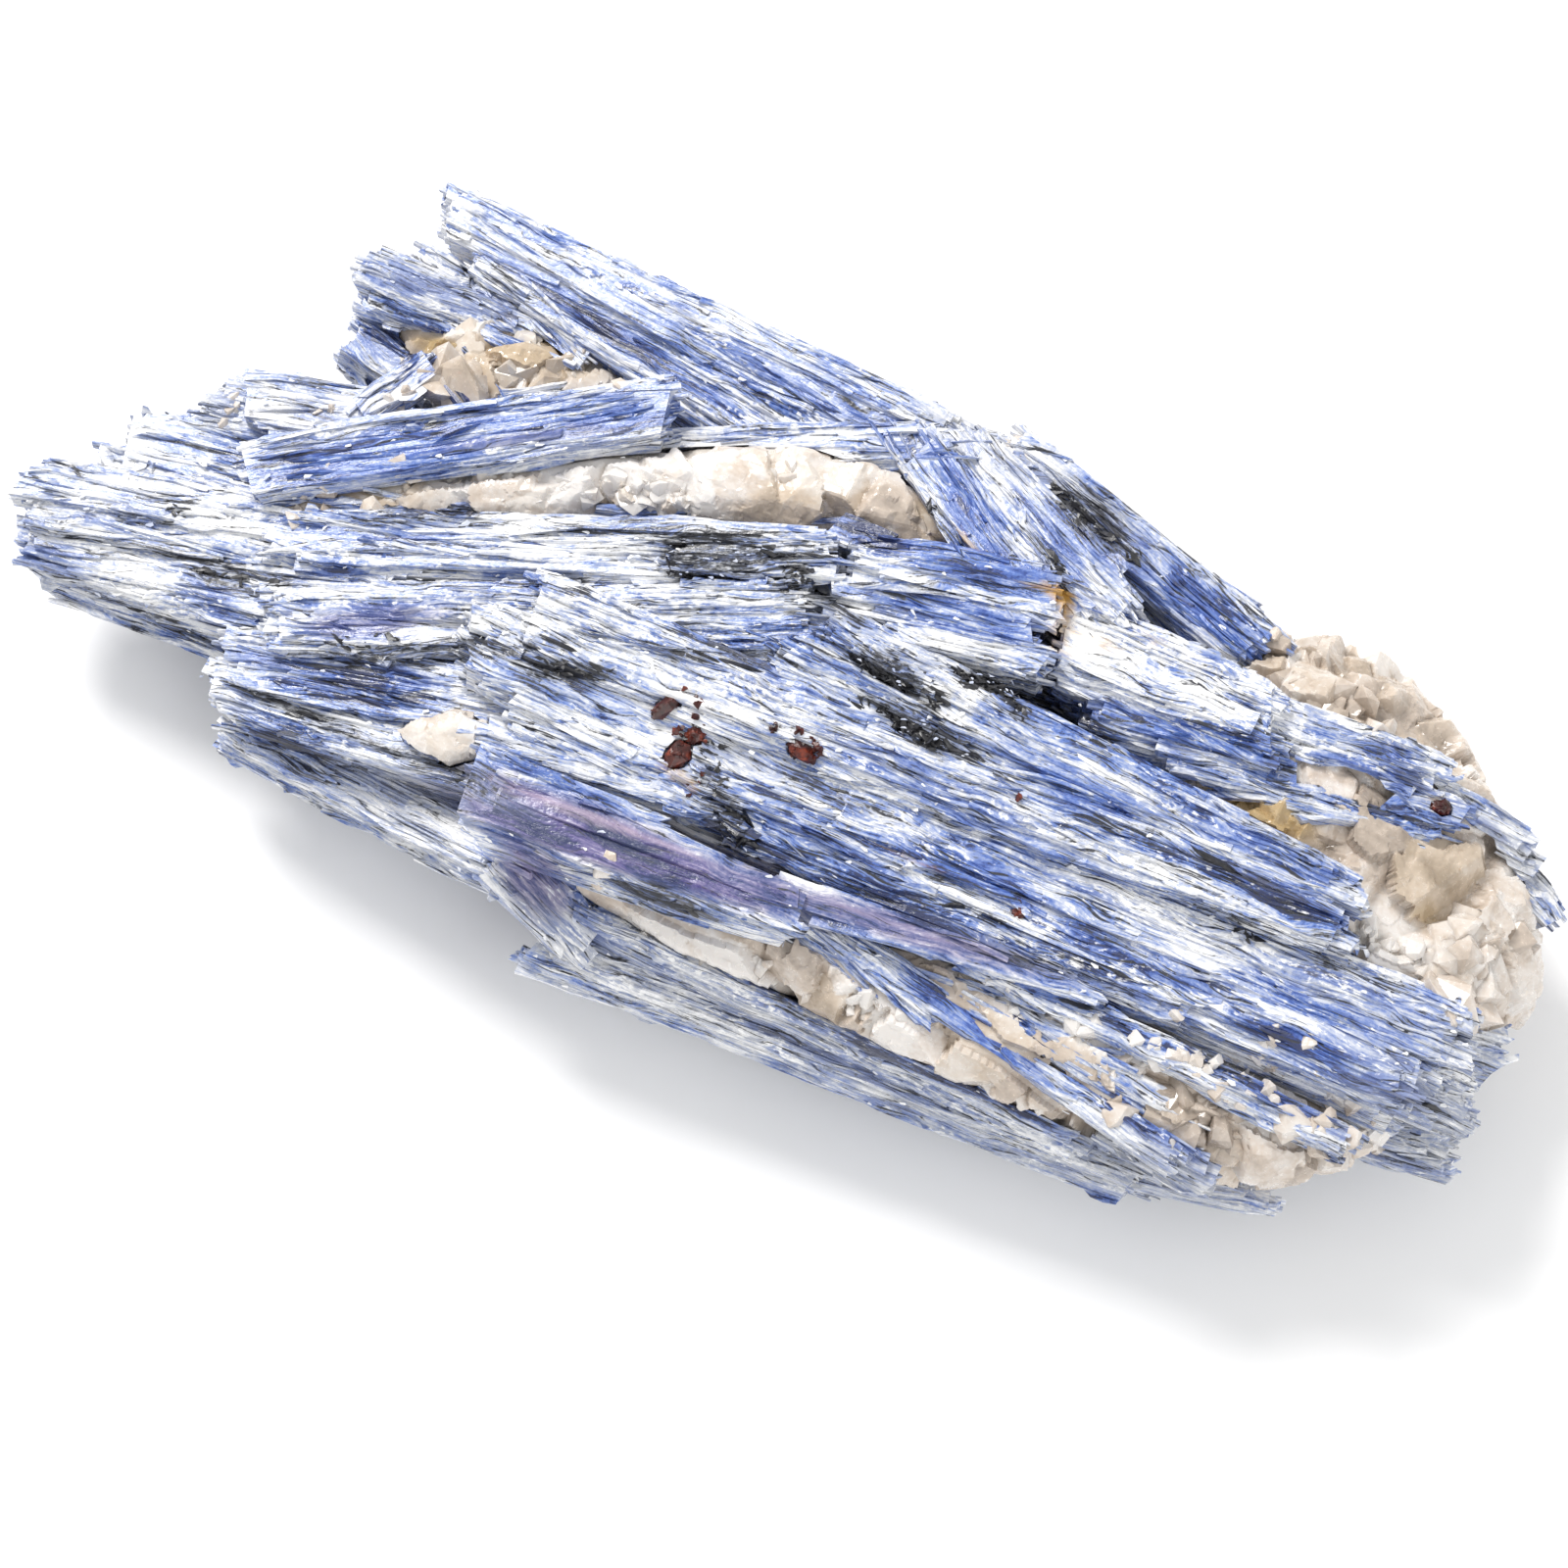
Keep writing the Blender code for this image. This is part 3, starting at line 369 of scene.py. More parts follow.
class AccessoryLook(bpy.types.PropertyGroup):
    """Sizes and colours of the mica and the garnet."""

    flake: length_setting("Flake", "Usual width of a flake of mica", 2.2)
    mica: colour_setting("Mica", "Black of biotite seen on the flat", "#26262A")
    garnet: colour_setting("Garnet", "Red-brown of almandine", "#4A160D")
    thin: colour_setting("Thin garnet", "Orange where a grain is thin", "#933A18")


class StageLook(bpy.types.PropertyGroup):
    """The floor, the light and the camera."""

    floor: colour_setting("Floor", "Plain pale floor", "#F7F7F7")
    azimuth: FloatProperty(name="Azimuth", description="Where the camera stands round the object",
                           subtype="ANGLE", default=math.radians(21.0))
    elevation: FloatProperty(name="Elevation", description="Height of the camera's line of sight",
                             subtype="ANGLE", default=math.radians(72.0))
    distance: length_setting("Distance", "From the camera to the point it looks at", 664.0)
    lens: FloatProperty(name="Lens", description="Focal length in millimetres", default=135.0)


def add_node(tree, kind, inputs=(), stops=(), **settings):
    """Adds a node with its settings, its inputs as values or links, and a ramp's stops."""
    node = tree.nodes.new("ShaderNode" + kind)
    for name, value in settings.items():
        setattr(node, name, value)
    for socket, value in dict(inputs).items():
        if isinstance(value, bpy.types.NodeSocket):
            tree.links.new(value, node.inputs[socket])
        else:
            node.inputs[socket].default_value = value
    for i, (position, colour) in enumerate(stops):
        elements = node.color_ramp.elements
        element = elements[i] if i < len(elements) else elements.new(position)
        element.position, element.color = position, (*colour, 1.0)
    return node


def new_material(name):
    """A material with an empty Principled shader, and its node tree."""
    material = bpy.data.materials.new(name)
    material.use_nodes = True
    return material, material.node_tree, material.node_tree.nodes["Principled BSDF"]


# Streaks of noise along a lath: how often they change for each mm along it and across it,
# and their detail. Real striations are some hundredths of a mm apart, too fine to show, so
# they are drawn 0.3 to 0.5 mm apart.
STREAKS = {
    "band": (0.09, 0.70, 2.0),     # bands of colour about 1.4 mm wide and 11 mm long
    "fine": (0.30, 2.6, 3.0),      # striations
    "hair": (0.12, 2.9, 2.0),      # painted shade: black hairlines in the gaps where the laths part
    "flaky": (0.75, 2.0, 4.0),     # crushed flecks about 1 mm long
    "crumb": (1.6, 2.8, 3.0),      # their crumbs
    "cloudy": (0.08, 0.20, 2.0),   # slow change over a whole blade
}


def kyanite_material(look):
    """Kyanite, cleaved into laths: vitreous across, pearly on the cleavage, with fine
    striations along each lath, so that it glints in streaks."""
    material, tree, shader = new_material("kyanite_cleaved")
    parts = {}
    for layer, names in zip(("tone_a", "tone_b", "tone_c"), TONES):
        tone = add_node(tree, "Attribute", attribute_name=layer).outputs["Color"]
        split = add_node(tree, "SeparateColor", {"Color": tone})
        parts.update(zip(names, split.outputs))
    grain = add_node(tree, "Attribute", attribute_name="grain").outputs["Vector"]
    # the streaks wander a little, by up to about 0.7 mm over some 8 mm
    place = add_node(tree, "VectorMath", {0: grain, 1: (0.12, 0.25, 1.0)}, operation="MULTIPLY")
    bend = add_node(tree, "TexNoise", {"Vector": place.outputs[0], "Scale": 1.0, "Detail": 1.0})
    bend = add_node(tree, "Math", {0: bend.outputs["Fac"], 1: 3.0, 2: -1.5},
                    operation="MULTIPLY_ADD").outputs[0]
    bend = add_node(tree, "CombineXYZ", {"Y": bend}).outputs[0]
    grain = add_node(tree, "VectorMath", {0: grain, 1: bend}, operation="ADD").outputs[0]
    for name, (along, across, detail) in STREAKS.items():
        place = add_node(tree, "VectorMath", {0: grain, 1: (along, across, 1.0)},
                         operation="MULTIPLY").outputs[0]
        noise = add_node(tree, "TexNoise", {"Vector": place, "Scale": 1.0, "Detail": detail,
                                            "Roughness": 0.6}).outputs["Fac"]
        parts[name] = add_node(tree, "Math", {0: noise, 1: 0.5}, operation="SUBTRACT").outputs[0]

    # Each share is a start value and what each part adds to it, kept between 0 and 1.
    shares = (
        ("shade", 0.58, (("band", 1.5), ("fine", 1.6), ("crumb", 0.8), ("cloudy", 0.8),
                         ("random", 0.22), ("frost", 0.14), ("blue", -0.12), ("navy", -0.46),
                         ("violet", -0.16), ("dark", -0.18))),
        ("crushed", -0.75, (("flaky", 8.0), ("crumb", 4.0), ("fine", 2.5), ("cloudy", 3.0),
                            ("frost", 1.3), ("random", 0.4), ("violet", -1.4), ("blue", -0.5),
                            ("dark", -0.4))),
        # This share paints shade: black hairlines in the gaps where the laths part, more of them in
        # the dark and navy patches
        ("seam", -0.72, (("hair", -10.0), ("crumb", 3.0), ("cloudy", -2.0), ("dark", 1.1),
                         ("navy", 0.5), ("violet", -0.5))),
        # Black flecks and hairlines, mostly in the dark patches, in the same black as the painted gap
        # shade
        ("black", -2.6, (("flaky", 6.0), ("hair", 7.0), ("dark", 3.0))),
        ("greyed", 0.0, (("grey", 0.6), ("dark", 0.25))),
        ("mauved", -0.45, (("mauve", 1.4), ("fine", -1.2))),
        ("ochre", -0.35, (("stain", 1.3), ("flaky", 0.8))),
        ("rough", 0.30, (("crushed", 0.35), ("flaky", 0.3))),
        ("relief", 0.4, (("fine", 0.7), ("band", 0.3), ("flaky", 0.5), ("crumb", 0.4))),
    )
    for name, start, terms in shares:
        total = start
        for source, weight in terms:
            last = source == terms[-1][0]
            total = add_node(tree, "Math", {0: parts[source], 1: weight, 2: total},
                             operation="MULTIPLY_ADD", use_clamp=last).outputs[0]
        parts[name] = total

    ramps = {
        "plain": ((0.04, look.navy), (0.22, look.blue), (0.44, look.middle), (0.66, look.pale),
                  (0.94, look.frost)),
        "clear": ((0.04, look.navy), (0.22, look.deep), (0.50, look.blue), (0.74, look.middle),
                  (0.95, look.pale)),
        "purple": ((0.12, look.navy), (0.50, look.violet), (0.86, look.lilac), (1.0, look.pale)),
    }
    for name, stops in ramps.items():
        parts[name] = add_node(tree, "ValToRGB", {"Fac": parts["shade"]}, stops).outputs["Color"]
    colour = parts["plain"]
    # The coats laid over the colour; the hairline black among them is painted shade in the gaps
    # between laths
    coats = (("blue", parts["clear"]), ("violet", parts["purple"]), ("mauved", look.mauve),
             ("greyed", look.grey), ("crushed", look.frost), ("seam", look.seam),
             ("black", look.seam), ("ochre", look.stain))
    for share, over in coats:
        over = over if isinstance(over, bpy.types.NodeSocket) else (*over, 1.0)
        colour = add_node(tree, "Mix", {0: parts[share], 6: colour, 7: over},
                          data_type="RGBA").outputs[2]
    bump = add_node(tree, "Bump", {"Strength": 0.6, "Distance": 0.0003, "Height": parts["relief"]})
    tree.links.new(colour, shader.inputs["Base Color"])
    tree.links.new(parts["rough"], shader.inputs["Roughness"])
    tree.links.new(bump.outputs["Normal"], shader.inputs["Normal"])
    shader.inputs["IOR"].default_value = 1.72
    return material


def crushed_material(look):
    """Kyanite crushed to scales, where it scatters all light: matt and almost white."""
    material, tree, shader = new_material("kyanite_crushed")
    tint = add_node(tree, "Attribute", attribute_name="tint").outputs["Fac"]
    colour = add_node(tree, "ValToRGB", {"Fac": tint},
                      ((0.0, look.middle), (0.35, look.pale), (0.6, look.frost)))
    tree.links.new(colour.outputs["Color"], shader.inputs["Base Color"])
    shader.inputs["Roughness"].default_value = 0.6
    shader.inputs["IOR"].default_value = 1.72
    return material


def quartz_material(look):
    """Granular vein quartz, broken: milky inside and glassy on the fresh fractures."""
    material, tree, shader = new_material("quartz_broken")
    place = add_node(tree, "TexCoord").outputs["Object"]
    # clouds of bubbles some 5 mm across, and chips in the facets some 0.8 mm across
    cloud, fleck = (
        add_node(tree, "TexNoise", {"Vector": place, "Scale": scale, "Detail": 4.0,
                                    "Roughness": 0.6}).outputs["Fac"]
        for scale in (190.0, 1200.0)
    )
    tint = add_node(tree, "Attribute", attribute_name="tint").outputs["Color"]
    # The second share is the smoky grey, and on the lumps it also holds the painted shade of the
    # hollows between the grains
    milky, smoky_and_hollow_shade, amber = add_node(tree, "SeparateColor", {"Color": tint}).outputs[:3]
    total = -0.06
    for source, weight in ((cloud, 1.0), (fleck, 0.35), (milky, 0.34), (smoky_and_hollow_shade, -0.34)):
        total = add_node(tree, "Math", {0: source, 1: weight, 2: total},
                         operation="MULTIPLY_ADD", use_clamp=True).outputs[0]
    colour = add_node(tree, "ValToRGB", {"Fac": total}, (
        (0.18, look.smoky_and_hollow_shade), (0.52, look.warm), (0.80, look.milky),
    )).outputs["Color"]
    stained = add_node(tree, "Mix", {0: amber, 6: colour, 7: (*look.amber, 1.0)},
                       data_type="RGBA").outputs[2]
    rough = add_node(tree, "MapRange", {"Value": fleck, "From Min": 0.35, "From Max": 0.7,
                                        "To Min": 0.06, "To Max": 0.35})
    bump = add_node(tree, "Bump", {"Strength": 0.3, "Distance": 0.0002, "Height": fleck})
    tree.links.new(stained, shader.inputs["Base Color"])
    tree.links.new(rough.outputs["Result"], shader.inputs["Roughness"])
    tree.links.new(bump.outputs["Normal"], shader.inputs["Normal"])
    shader.inputs["IOR"].default_value = 1.545
    shader.inputs["Transmission Weight"].default_value = 0.15
    shader.inputs["Subsurface Weight"].default_value = 0.22
    shader.inputs["Subsurface Radius"].default_value = (0.001, 0.0009, 0.0008)
    shader.inputs["Subsurface Scale"].default_value = 1.0
    return material


def mica_material(look):
    """Biotite, cleaved into flakes: near black, with a pearly glint on each flake."""
    material, tree, shader = new_material("biotite_cleaved")
    place = add_node(tree, "TexCoord").outputs["Object"]
    # the steps of the cleavage are far finer than 0.1 mm, and are drawn about 1 mm apart
    noise = add_node(tree, "TexNoise", {"Vector": place, "Scale": 900.0, "Detail": 3.0,
                                        "Roughness": 0.6}).outputs["Fac"]
    dark = look.mica
    colour = add_node(tree, "ValToRGB", {"Fac": noise}, (
        (0.35, tuple(0.4 * c for c in dark)), (0.55, dark), (0.8, tuple(5.0 * c for c in dark)),
    ))
    bump = add_node(tree, "Bump", {"Strength": 0.4, "Distance": 0.0002, "Height": noise})
    tree.links.new(colour.outputs["Color"], shader.inputs["Base Color"])
    tree.links.new(bump.outputs["Normal"], shader.inputs["Normal"])
    shader.inputs["Roughness"].default_value = 0.38
    shader.inputs["IOR"].default_value = 1.6
    return material


def garnet_material(look):
    """Almandine garnet, grown as grains: deep red-brown and vitreous, orange where thin."""
    material, tree, shader = new_material("almandine_grown")
    place = add_node(tree, "TexCoord").outputs["Object"]
    # patches of thin and thick crystal, about 1.5 mm across
    noise = add_node(tree, "TexNoise", {"Vector": place, "Scale": 650.0, "Detail": 3.0,
                                        "Roughness": 0.6}).outputs["Fac"]
    colour = add_node(tree, "ValToRGB", {"Fac": noise}, (
        (0.35, tuple(0.25 * c for c in look.garnet)), (0.55, look.garnet), (0.75, look.thin),
    ))
    bump = add_node(tree, "Bump", {"Strength": 0.5, "Distance": 0.0003, "Height": noise})
    tree.links.new(colour.outputs["Color"], shader.inputs["Base Color"])
    tree.links.new(bump.outputs["Normal"], shader.inputs["Normal"])
    shader.inputs["Roughness"].default_value = 0.4
    shader.inputs["IOR"].default_value = 1.8
    shader.inputs["Specular IOR Level"].default_value = 0.3
    return material


def triangles_of(names):
    """The triangles of these CAD nodes as an array of corners, in the tables' coordinates."""
    found = []
    for name in names:
        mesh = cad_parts[name].data
        mesh.calc_loop_triangles()
        points = np.array([v.co for v in mesh.vertices]) / MM + CENTRE
        corners = np.array([t.vertices for t in mesh.loop_triangles])
        found.append(points[corners])
    return np.concatenate(found)


def tree_of(triangles):
    corners = triangles.reshape(-1, 3)
    faces = np.arange(len(corners)).reshape(-1, 3)
    return BVHTree.FromPolygons([tuple(c) for c in corners], [tuple(f) for f in faces])


def unit(vectors):
    length = np.linalg.norm(vectors, axis=-1, keepdims=True)
    return vectors / np.maximum(length, 1e-9)


def scatter(triangles, count, rng):
    """Points spread evenly over the triangles, and the way the surface faces there."""
    sides = np.cross(triangles[:, 1] - triangles[:, 0], triangles[:, 2] - triangles[:, 0])
    areas = np.linalg.norm(sides, axis=1)
    chosen = rng.choice(len(triangles), count, p=areas / areas.sum())
    u, v = rng.random((2, count, 1))
    over = u + v > 1
    u, v = np.where(over, 1 - u, u), np.where(over, 1 - v, v)
    a, b, c = (triangles[chosen, i] for i in range(3))
    return a + u * (b - a) + v * (c - a), unit(sides[chosen])


class SprayField:
    """Tells which spray a point of the surface belongs to."""

    def __init__(self):
        self.start = np.array([s.start for s in SPRAYS], float)
        end = np.array([s.end for s in SPRAYS], float)
        self.length = np.linalg.norm(end - self.start, axis=1)
        self.along = unit(end - self.start)
        self.across = unit(np.cross((0.0, 0.0, 1.0), self.along))
        self.up = np.cross(self.along, self.across)
        self.widths = np.array([s.widths for s in SPRAYS], float)
        self.depth = np.array([s.depth for s in SPRAYS], float)
        self.frayed = np.array([s.frayed for s in SPRAYS], float)

    def nearest(self, points, normals):
        """For each point, the index of its spray and how far along the spray it is."""
        gap = points[:, None] - self.start
        t = np.einsum("nmk,mk->nm", gap, self.along)
        side = np.einsum("nmk,mk->nm", gap, self.across)
        height = np.einsum("nmk,mk->nm", gap, self.up)
        share = np.clip(t / self.length, 0, 1)
        half = 0.5 * (self.widths[:, 0] * (1 - share) + self.widths[:, 1] * share)
        out = np.stack([-t, t - self.length, np.abs(side) - half, height, -height - self.depth])
        facing = np.abs(normals @ self.along.T)
        cost = np.abs(out.max(axis=0)) + 5 * np.minimum(facing, np.abs(0.95 - facing))
        best = cost.argmin(axis=1)
        rows = np.arange(len(points))
        return best, t[rows, best]

    def grain(self, points, spray, seed):
        """Places along and across the grain of these sprays: points are (n, k, 3)."""
        gap = points - self.start[spray][:, None]
        along = np.einsum("nkj,nj->nk", gap, self.along[spray])
        across = np.einsum("nkj,nj->nk", gap, self.across[spray] + 0.7 * self.up[spray])
        return np.stack([along, across, np.broadcast_to(seed[:, None], along.shape)], axis=-1)


def shares_at(points, table):
    """How strongly each finish of a table of patches shows at these points."""
    drop = (PATCH_LEVEL - points[:, 2:3]) * SIGHT_RISE
    place = points[:, :2] - drop * SIGHT_WAY
    shares = {}
    for name, patches in table.items():
        total = np.zeros(len(points))
        for x, y, half_length, half_width, angle, strength in patches:
            turn = math.radians(angle)
            gap = place - (x, y)
            along = (gap @ (math.cos(turn), math.sin(turn))) / half_length
            across = (gap @ (-math.sin(turn), math.cos(turn))) / half_width
            away = np.sqrt(along ** 2 + across ** 2)
            total = np.maximum(total, strength * np.clip((1.4 - away) / 0.6, 0, 1))
        shares[name] = total
    return shares


def tones_at(points, rng):
    """How much of each finish of kyanite there is at these points, as three colours."""
    shares = shares_at(points, PATCHES)
    shares["random"] = rng.random(len(points))
    return [np.stack([shares[name] for name in row], axis=1) for row in TONES]


def write_layer(mesh, layer, values):
    """Writes a value of three parts on each point of a mesh: places, or shares as a colour."""
    if layer == "grain":
        kind, field = "FLOAT_VECTOR", "vector"
    else:
        kind, field = "FLOAT_COLOR", "color"
        values = np.concatenate([values, np.ones((len(values), 1))], axis=1)
    attribute = mesh.attributes.new(layer, kind, "POINT")
    attribute.data.foreach_set(field, values.astype(np.float32).ravel())


def joined_mesh(name, points, faces, layers):
    """A mesh object of many copies: points (n, k, 3) in mm, and the faces of one copy."""
    copies, size = points.shape[:2]
    mesh = bpy.data.meshes.new(name)
    mesh.vertices.add(copies * size)
    mesh.vertices.foreach_set("co", ((points - CENTRE) * MM).astype(np.float32).ravel())
    corners = np.concatenate([np.array(f) for f in faces])
    sizes = np.array([len(f) for f in faces])
    first = np.concatenate([[0], np.cumsum(sizes)[:-1]])
    steps = np.arange(copies)[:, None]
    mesh.loops.add(copies * len(corners))
    mesh.polygons.add(copies * len(faces))
    mesh.loops.foreach_set("vertex_index", (corners + steps * size).ravel().astype(np.int32))
    mesh.polygons.foreach_set("loop_start", (first + steps * len(corners)).ravel().astype(np.int32))
    for layer, values in layers.items():
        if values.ndim == 2:
            values = np.repeat(values[:, None], size, axis=1)
        write_layer(mesh, layer, values.reshape(-1, 3))
    mesh.update(calc_edges=True)
    mesh.validate()
    mesh.shade_flat()
    obj = bpy.data.objects.new(name, mesh)
    bpy.context.collection.objects.link(obj)
    return obj


LATH_PROFILES = {
    "fine": ((-1, -1), (1, -1), (1, 0.2), (0.35, 1), (-0.75, 0.7)),
    "broad": (
        (-1, -1), (1, -1), (1, 0.3), (0.62, 0.8), (0.2, 0.72), (0.02, 1.0), (-0.6, 0.86),
        (-1, 0.1),
    ),
    "plate": ((-1, -1), (1, -1), (1, 0.55), (0.9, 0.9), (0.1, 1.0), (-0.93, 0.85), (-1, 0.5)),
}
LATH_RINGS = {"fine": 4, "broad": 5, "plate": 5}


def lath_faces(sides, rings):
    """The faces of a lath: its long sides, and its two broken ends."""
    faces = [list(range(sides))[::-1]]
    for r in range(rings - 1):
        for i in range(sides):
            j = (i + 1) % sides
            faces.append([r * sides + i, r * sides + j, (r + 1) * sides + j, (r + 1) * sides + i])
    faces.append([(rings - 1) * sides + i for i in range(sides)])
    return faces


def lath_points(profile, rings, laths, rng):
    """Corner points of laths."""
    shape = np.array(profile, float)
    count = len(laths["centre"])
    back, ahead = laths["back"], laths["ahead"]
    half_width, thickness = laths["half_width"], laths["thickness"]
    steps = np.linspace(0, 1, rings)
    jitter = np.concatenate([[0], rng.uniform(-0.06, 0.06, max(0, rings - 2)), [0]])
    share = (steps + jitter)[None, :]
    t = -back[:, None] + (back + ahead)[:, None] * share
    ends = rng.uniform(0.45, 1.0, (count, 2))
    taper = np.ones((count, rings))
    taper[:, 0], taper[:, -1] = ends[:, 0], ends[:, 1]
    bow = rng.normal(0, 0.08, (count, rings))
    slant = np.zeros((count, rings))
    slant[:, 0], slant[:, -1] = rng.uniform(-1.3, 1.3, (2, count))
    side = shape[None, None, :, 0] * (half_width[:, None] * taper)[..., None] + bow[..., None]
    rise = (shape[None, None, :, 1] - 1) * (0.5 * thickness)[:, None, None]
    sink = 0.25 * thickness[:, None] * rng.random((count, rings))
    sink[:, 1:-1] *= 0.3
    dive = rng.uniform(0.1, 1.1, (count, 2)) * (thickness * laths["dives"])[:, None]
    sink[:, 0] += dive[:, 0]
    sink[:, -1] += dive[:, 1]
    rise = rise - sink[..., None]
    run = t[..., None] + slant[..., None] * side
    points = (
        laths["centre"][:, None, None]
        + run[..., None] * laths["along"][:, None, None]
        + side[..., None] * laths["across"][:, None, None]
        + rise[..., None] * laths["up"][:, None, None]
    )
    return points.reshape(count, -1, 3)


def reach(tree, centre, along, normal, wanted, step=1.4, slack=0.75):
    """How far a lath can run along the surface before the surface leaves it."""
    far = 0.0
    start, way, out = Vector(centre), Vector(along), Vector(normal)
    while far < wanted:
        far += step
        place, facing, _, gap = tree.find_nearest(start + way * far, 4.0)
        if place is None or gap > slack or facing.dot(out) < 0.35:
            return max(0.0, far - step)
    return wanted


def lay_laths(plan, surface, field, rng, points=None, normals=None):
    """Laths of one kind, half sunk in the surface and following its blades."""
    if points is None:
        points, normals = scatter(surface["triangles"], plan["count"], rng)
    count = len(points)
    spray, _ = field.nearest(points, normals)
    frayed = field.frayed[spray] if plan["frays"] else np.ones(count)
    wanted_here = rng.random(count) < frayed
    along = field.along[spray]
    facing = np.einsum("nk,nk->n", along, normals)
    at_end = np.abs(facing) > 0.75
    flat = unit(along - facing[:, None] * normals)
    angle = rng.normal(0, plan["turn"], count)
    wild = rng.random(count) < 0.06
    angle = np.where(wild, angle * 3, angle)[:, None]
    side = np.cross(normals, flat)
    flat = unit(flat * np.cos(angle) + side * np.sin(angle))
    roll = rng.normal(0, plan["roll"], count)[:, None]
    side = np.cross(normals, flat)
    up = unit(normals * np.cos(roll) + side * np.sin(roll))
    width, length = plan["width"] / MM, plan["length"] / MM
    half = np.clip(rng.lognormal(math.log(length / 2), 0.45, count), length / 9, length * 1.2)
    widths = np.clip(rng.lognormal(math.log(width), 0.35, count), width * 0.4, width * 2.2)
    kept, back, ahead = [], [], []
    for i in range(count):
        point, normal = Vector(points[i]), Vector(normals[i])
        if point.z < 0.8 or not wanted_here[i]:
            continue
        if surface["others"].ray_cast(point + normal * 0.05, normal, 1.0)[0] is not None:
            continue
        if at_end[i]:
            if plan["frays"]:
                sign = 1.0 if facing[i] > 0 else -1.0
                back_i, ahead_i = 4.0, min(1.8, 0.2 + abs(rng.normal(0, 0.8)))
                flat[i] = along[i] * sign
                up[i] = unit(np.cross(flat[i], np.cross((0.1, 0.2, 1.0), flat[i])))
            else:
                continue
        else:
            wanted = half[i] * rng.uniform(0.6, 1.4, 2)
            ahead_i = reach(surface["kyanite"], points[i], flat[i], normals[i], wanted[0])
            back_i = reach(surface["kyanite"], points[i], -flat[i], normals[i], wanted[1])
            over = np.abs(rng.normal(0, plan["over"], 2))
            ahead_i, back_i = ahead_i + over[0], back_i + over[1]
        if back_i + ahead_i < 1.5 * widths[i]:
            continue
        kept.append(i)
        back.append(back_i)
        ahead.append(ahead_i)
    widths = widths[kept]
    thickness = widths * rng.uniform(*plan["thickness"], len(kept)) + 0.2
    raised = plan["lift"][0] + (plan["lift"][1] - plan["lift"][0]) * rng.random(len(kept)) ** 1.6
    flat, up = flat[kept], up[kept]
    across = unit(np.cross(up, flat))
    up = np.cross(flat, across)
    for side in (-0.5, 0.5):
        edges = points[kept] + across * (side * widths)[:, None]
        past = [surface["kyanite"].find_nearest(Vector(edge), 0.5)[0] is None for edge in edges]
        widths = np.where(past, 0.5 * widths, widths)
    return {
        "centre": points[kept] + up * raised[:, None], "along": flat, "across": across, "up": up,
        "back": np.array(back), "ahead": np.array(ahead), "half_width": widths / 2,
        "thickness": np.maximum(thickness, raised + 0.35), "spray": spray[kept],
        "dives": ~at_end[kept],
    }


def lath_object(name, kind, laths, field, rng):
    profile, rings = LATH_PROFILES[kind], LATH_RINGS[kind]
    points = lath_points(profile, rings, laths, rng)
    points[..., 2] = np.clip(points[..., 2], 0.02, HIGHEST)
    count, size = points.shape[:2]
    seed = 7.3 * laths["spray"] + rng.uniform(0, 0.6, count)
    layers = {"grain": field.grain(points, laths["spray"], seed)}
    tones = tones_at(points.reshape(-1, 3), rng)
    tones[2][:, 1] = np.repeat(rng.random(count) - 0.5, size)
    for layer, values in zip(("tone_a", "tone_b", "tone_c"), tones):
        layers[layer] = values.reshape(count, size, 3)
    return joined_mesh(name, points, lath_faces(len(profile), rings), layers)


def part_of(laths, chosen):
    return {name: values[chosen] for name, values in laths.items()}


HIGHEST = 39.5  # mm, just over the crest of the solid
BODY_TRIANGLE = 3.3  # longest side, in mm, of the body's triangles


def split_long(triangles, longest):
    """The same surface in triangles with no side longer than this."""
    done = []
    while len(triangles):
        sides = np.linalg.norm(np.roll(triangles, -1, axis=1) - triangles, axis=2)
        short = sides.max(axis=1) <= longest
        done.append(triangles[short])
        triangles, sides = triangles[~short], sides[~short]
        rows, side = np.arange(len(triangles)), sides.argmax(axis=1)
        a, b, c = (triangles[rows, (side + i) % 3] for i in range(3))
        middle = (a + b) / 2
        triangles = np.concatenate([np.stack([a, middle, c], 1), np.stack([middle, b, c], 1)])
    return np.concatenate(done)


def body_copy(name, node, field, rng):
    """The solid's own shape with the grain of each spray written on its corners."""
    triangles = split_long(triangles_of([node]), BODY_TRIANGLE)
    centres = triangles.mean(axis=1)
    sides = np.cross(triangles[:, 1] - triangles[:, 0], triangles[:, 2] - triangles[:, 0])
    spray, _ = field.nearest(centres, unit(sides))
    tones = tones_at(triangles.reshape(-1, 3), rng)
    tones[2][:, 1] = 0.0
    layers = {"grain": field.grain(triangles, spray, 7.3 * spray)}
    for layer, values in zip(("tone_a", "tone_b", "tone_c"), tones):
        layers[layer] = values.reshape(-1, 3, 3)
    obj = joined_mesh(name, triangles, [[0, 1, 2]], layers)
    bm = bmesh.new()
    bm.from_mesh(obj.data)
    bmesh.ops.recalc_face_normals(bm, faces=bm.faces)
    bm.to_mesh(obj.data)
    bm.free()
    return obj


def chip_shapes(count, corners, stretch, rng):
    """Irregular convex chips with flat facets, about one unit across."""
    shapes = []
    for _ in range(count):
        bm = bmesh.new()
        for _ in range(corners):
            direction = unit(rng.normal(size=3))
            bm.verts.new(direction * rng.uniform(0.75, 1.0) * stretch)
        bmesh.ops.convex_hull(bm, input=bm.verts)
        loose = [v for v in bm.verts if not v.link_faces]
        bmesh.ops.delete(bm, geom=loose, context="VERTS")
        bmesh.ops.recalc_face_normals(bm, faces=bm.faces)
        bm.verts.index_update()
        shapes.append((np.array([v.co for v in bm.verts]),
                       [[v.index for v in f.verts] for f in bm.faces]))
        bm.free()
    return shapes


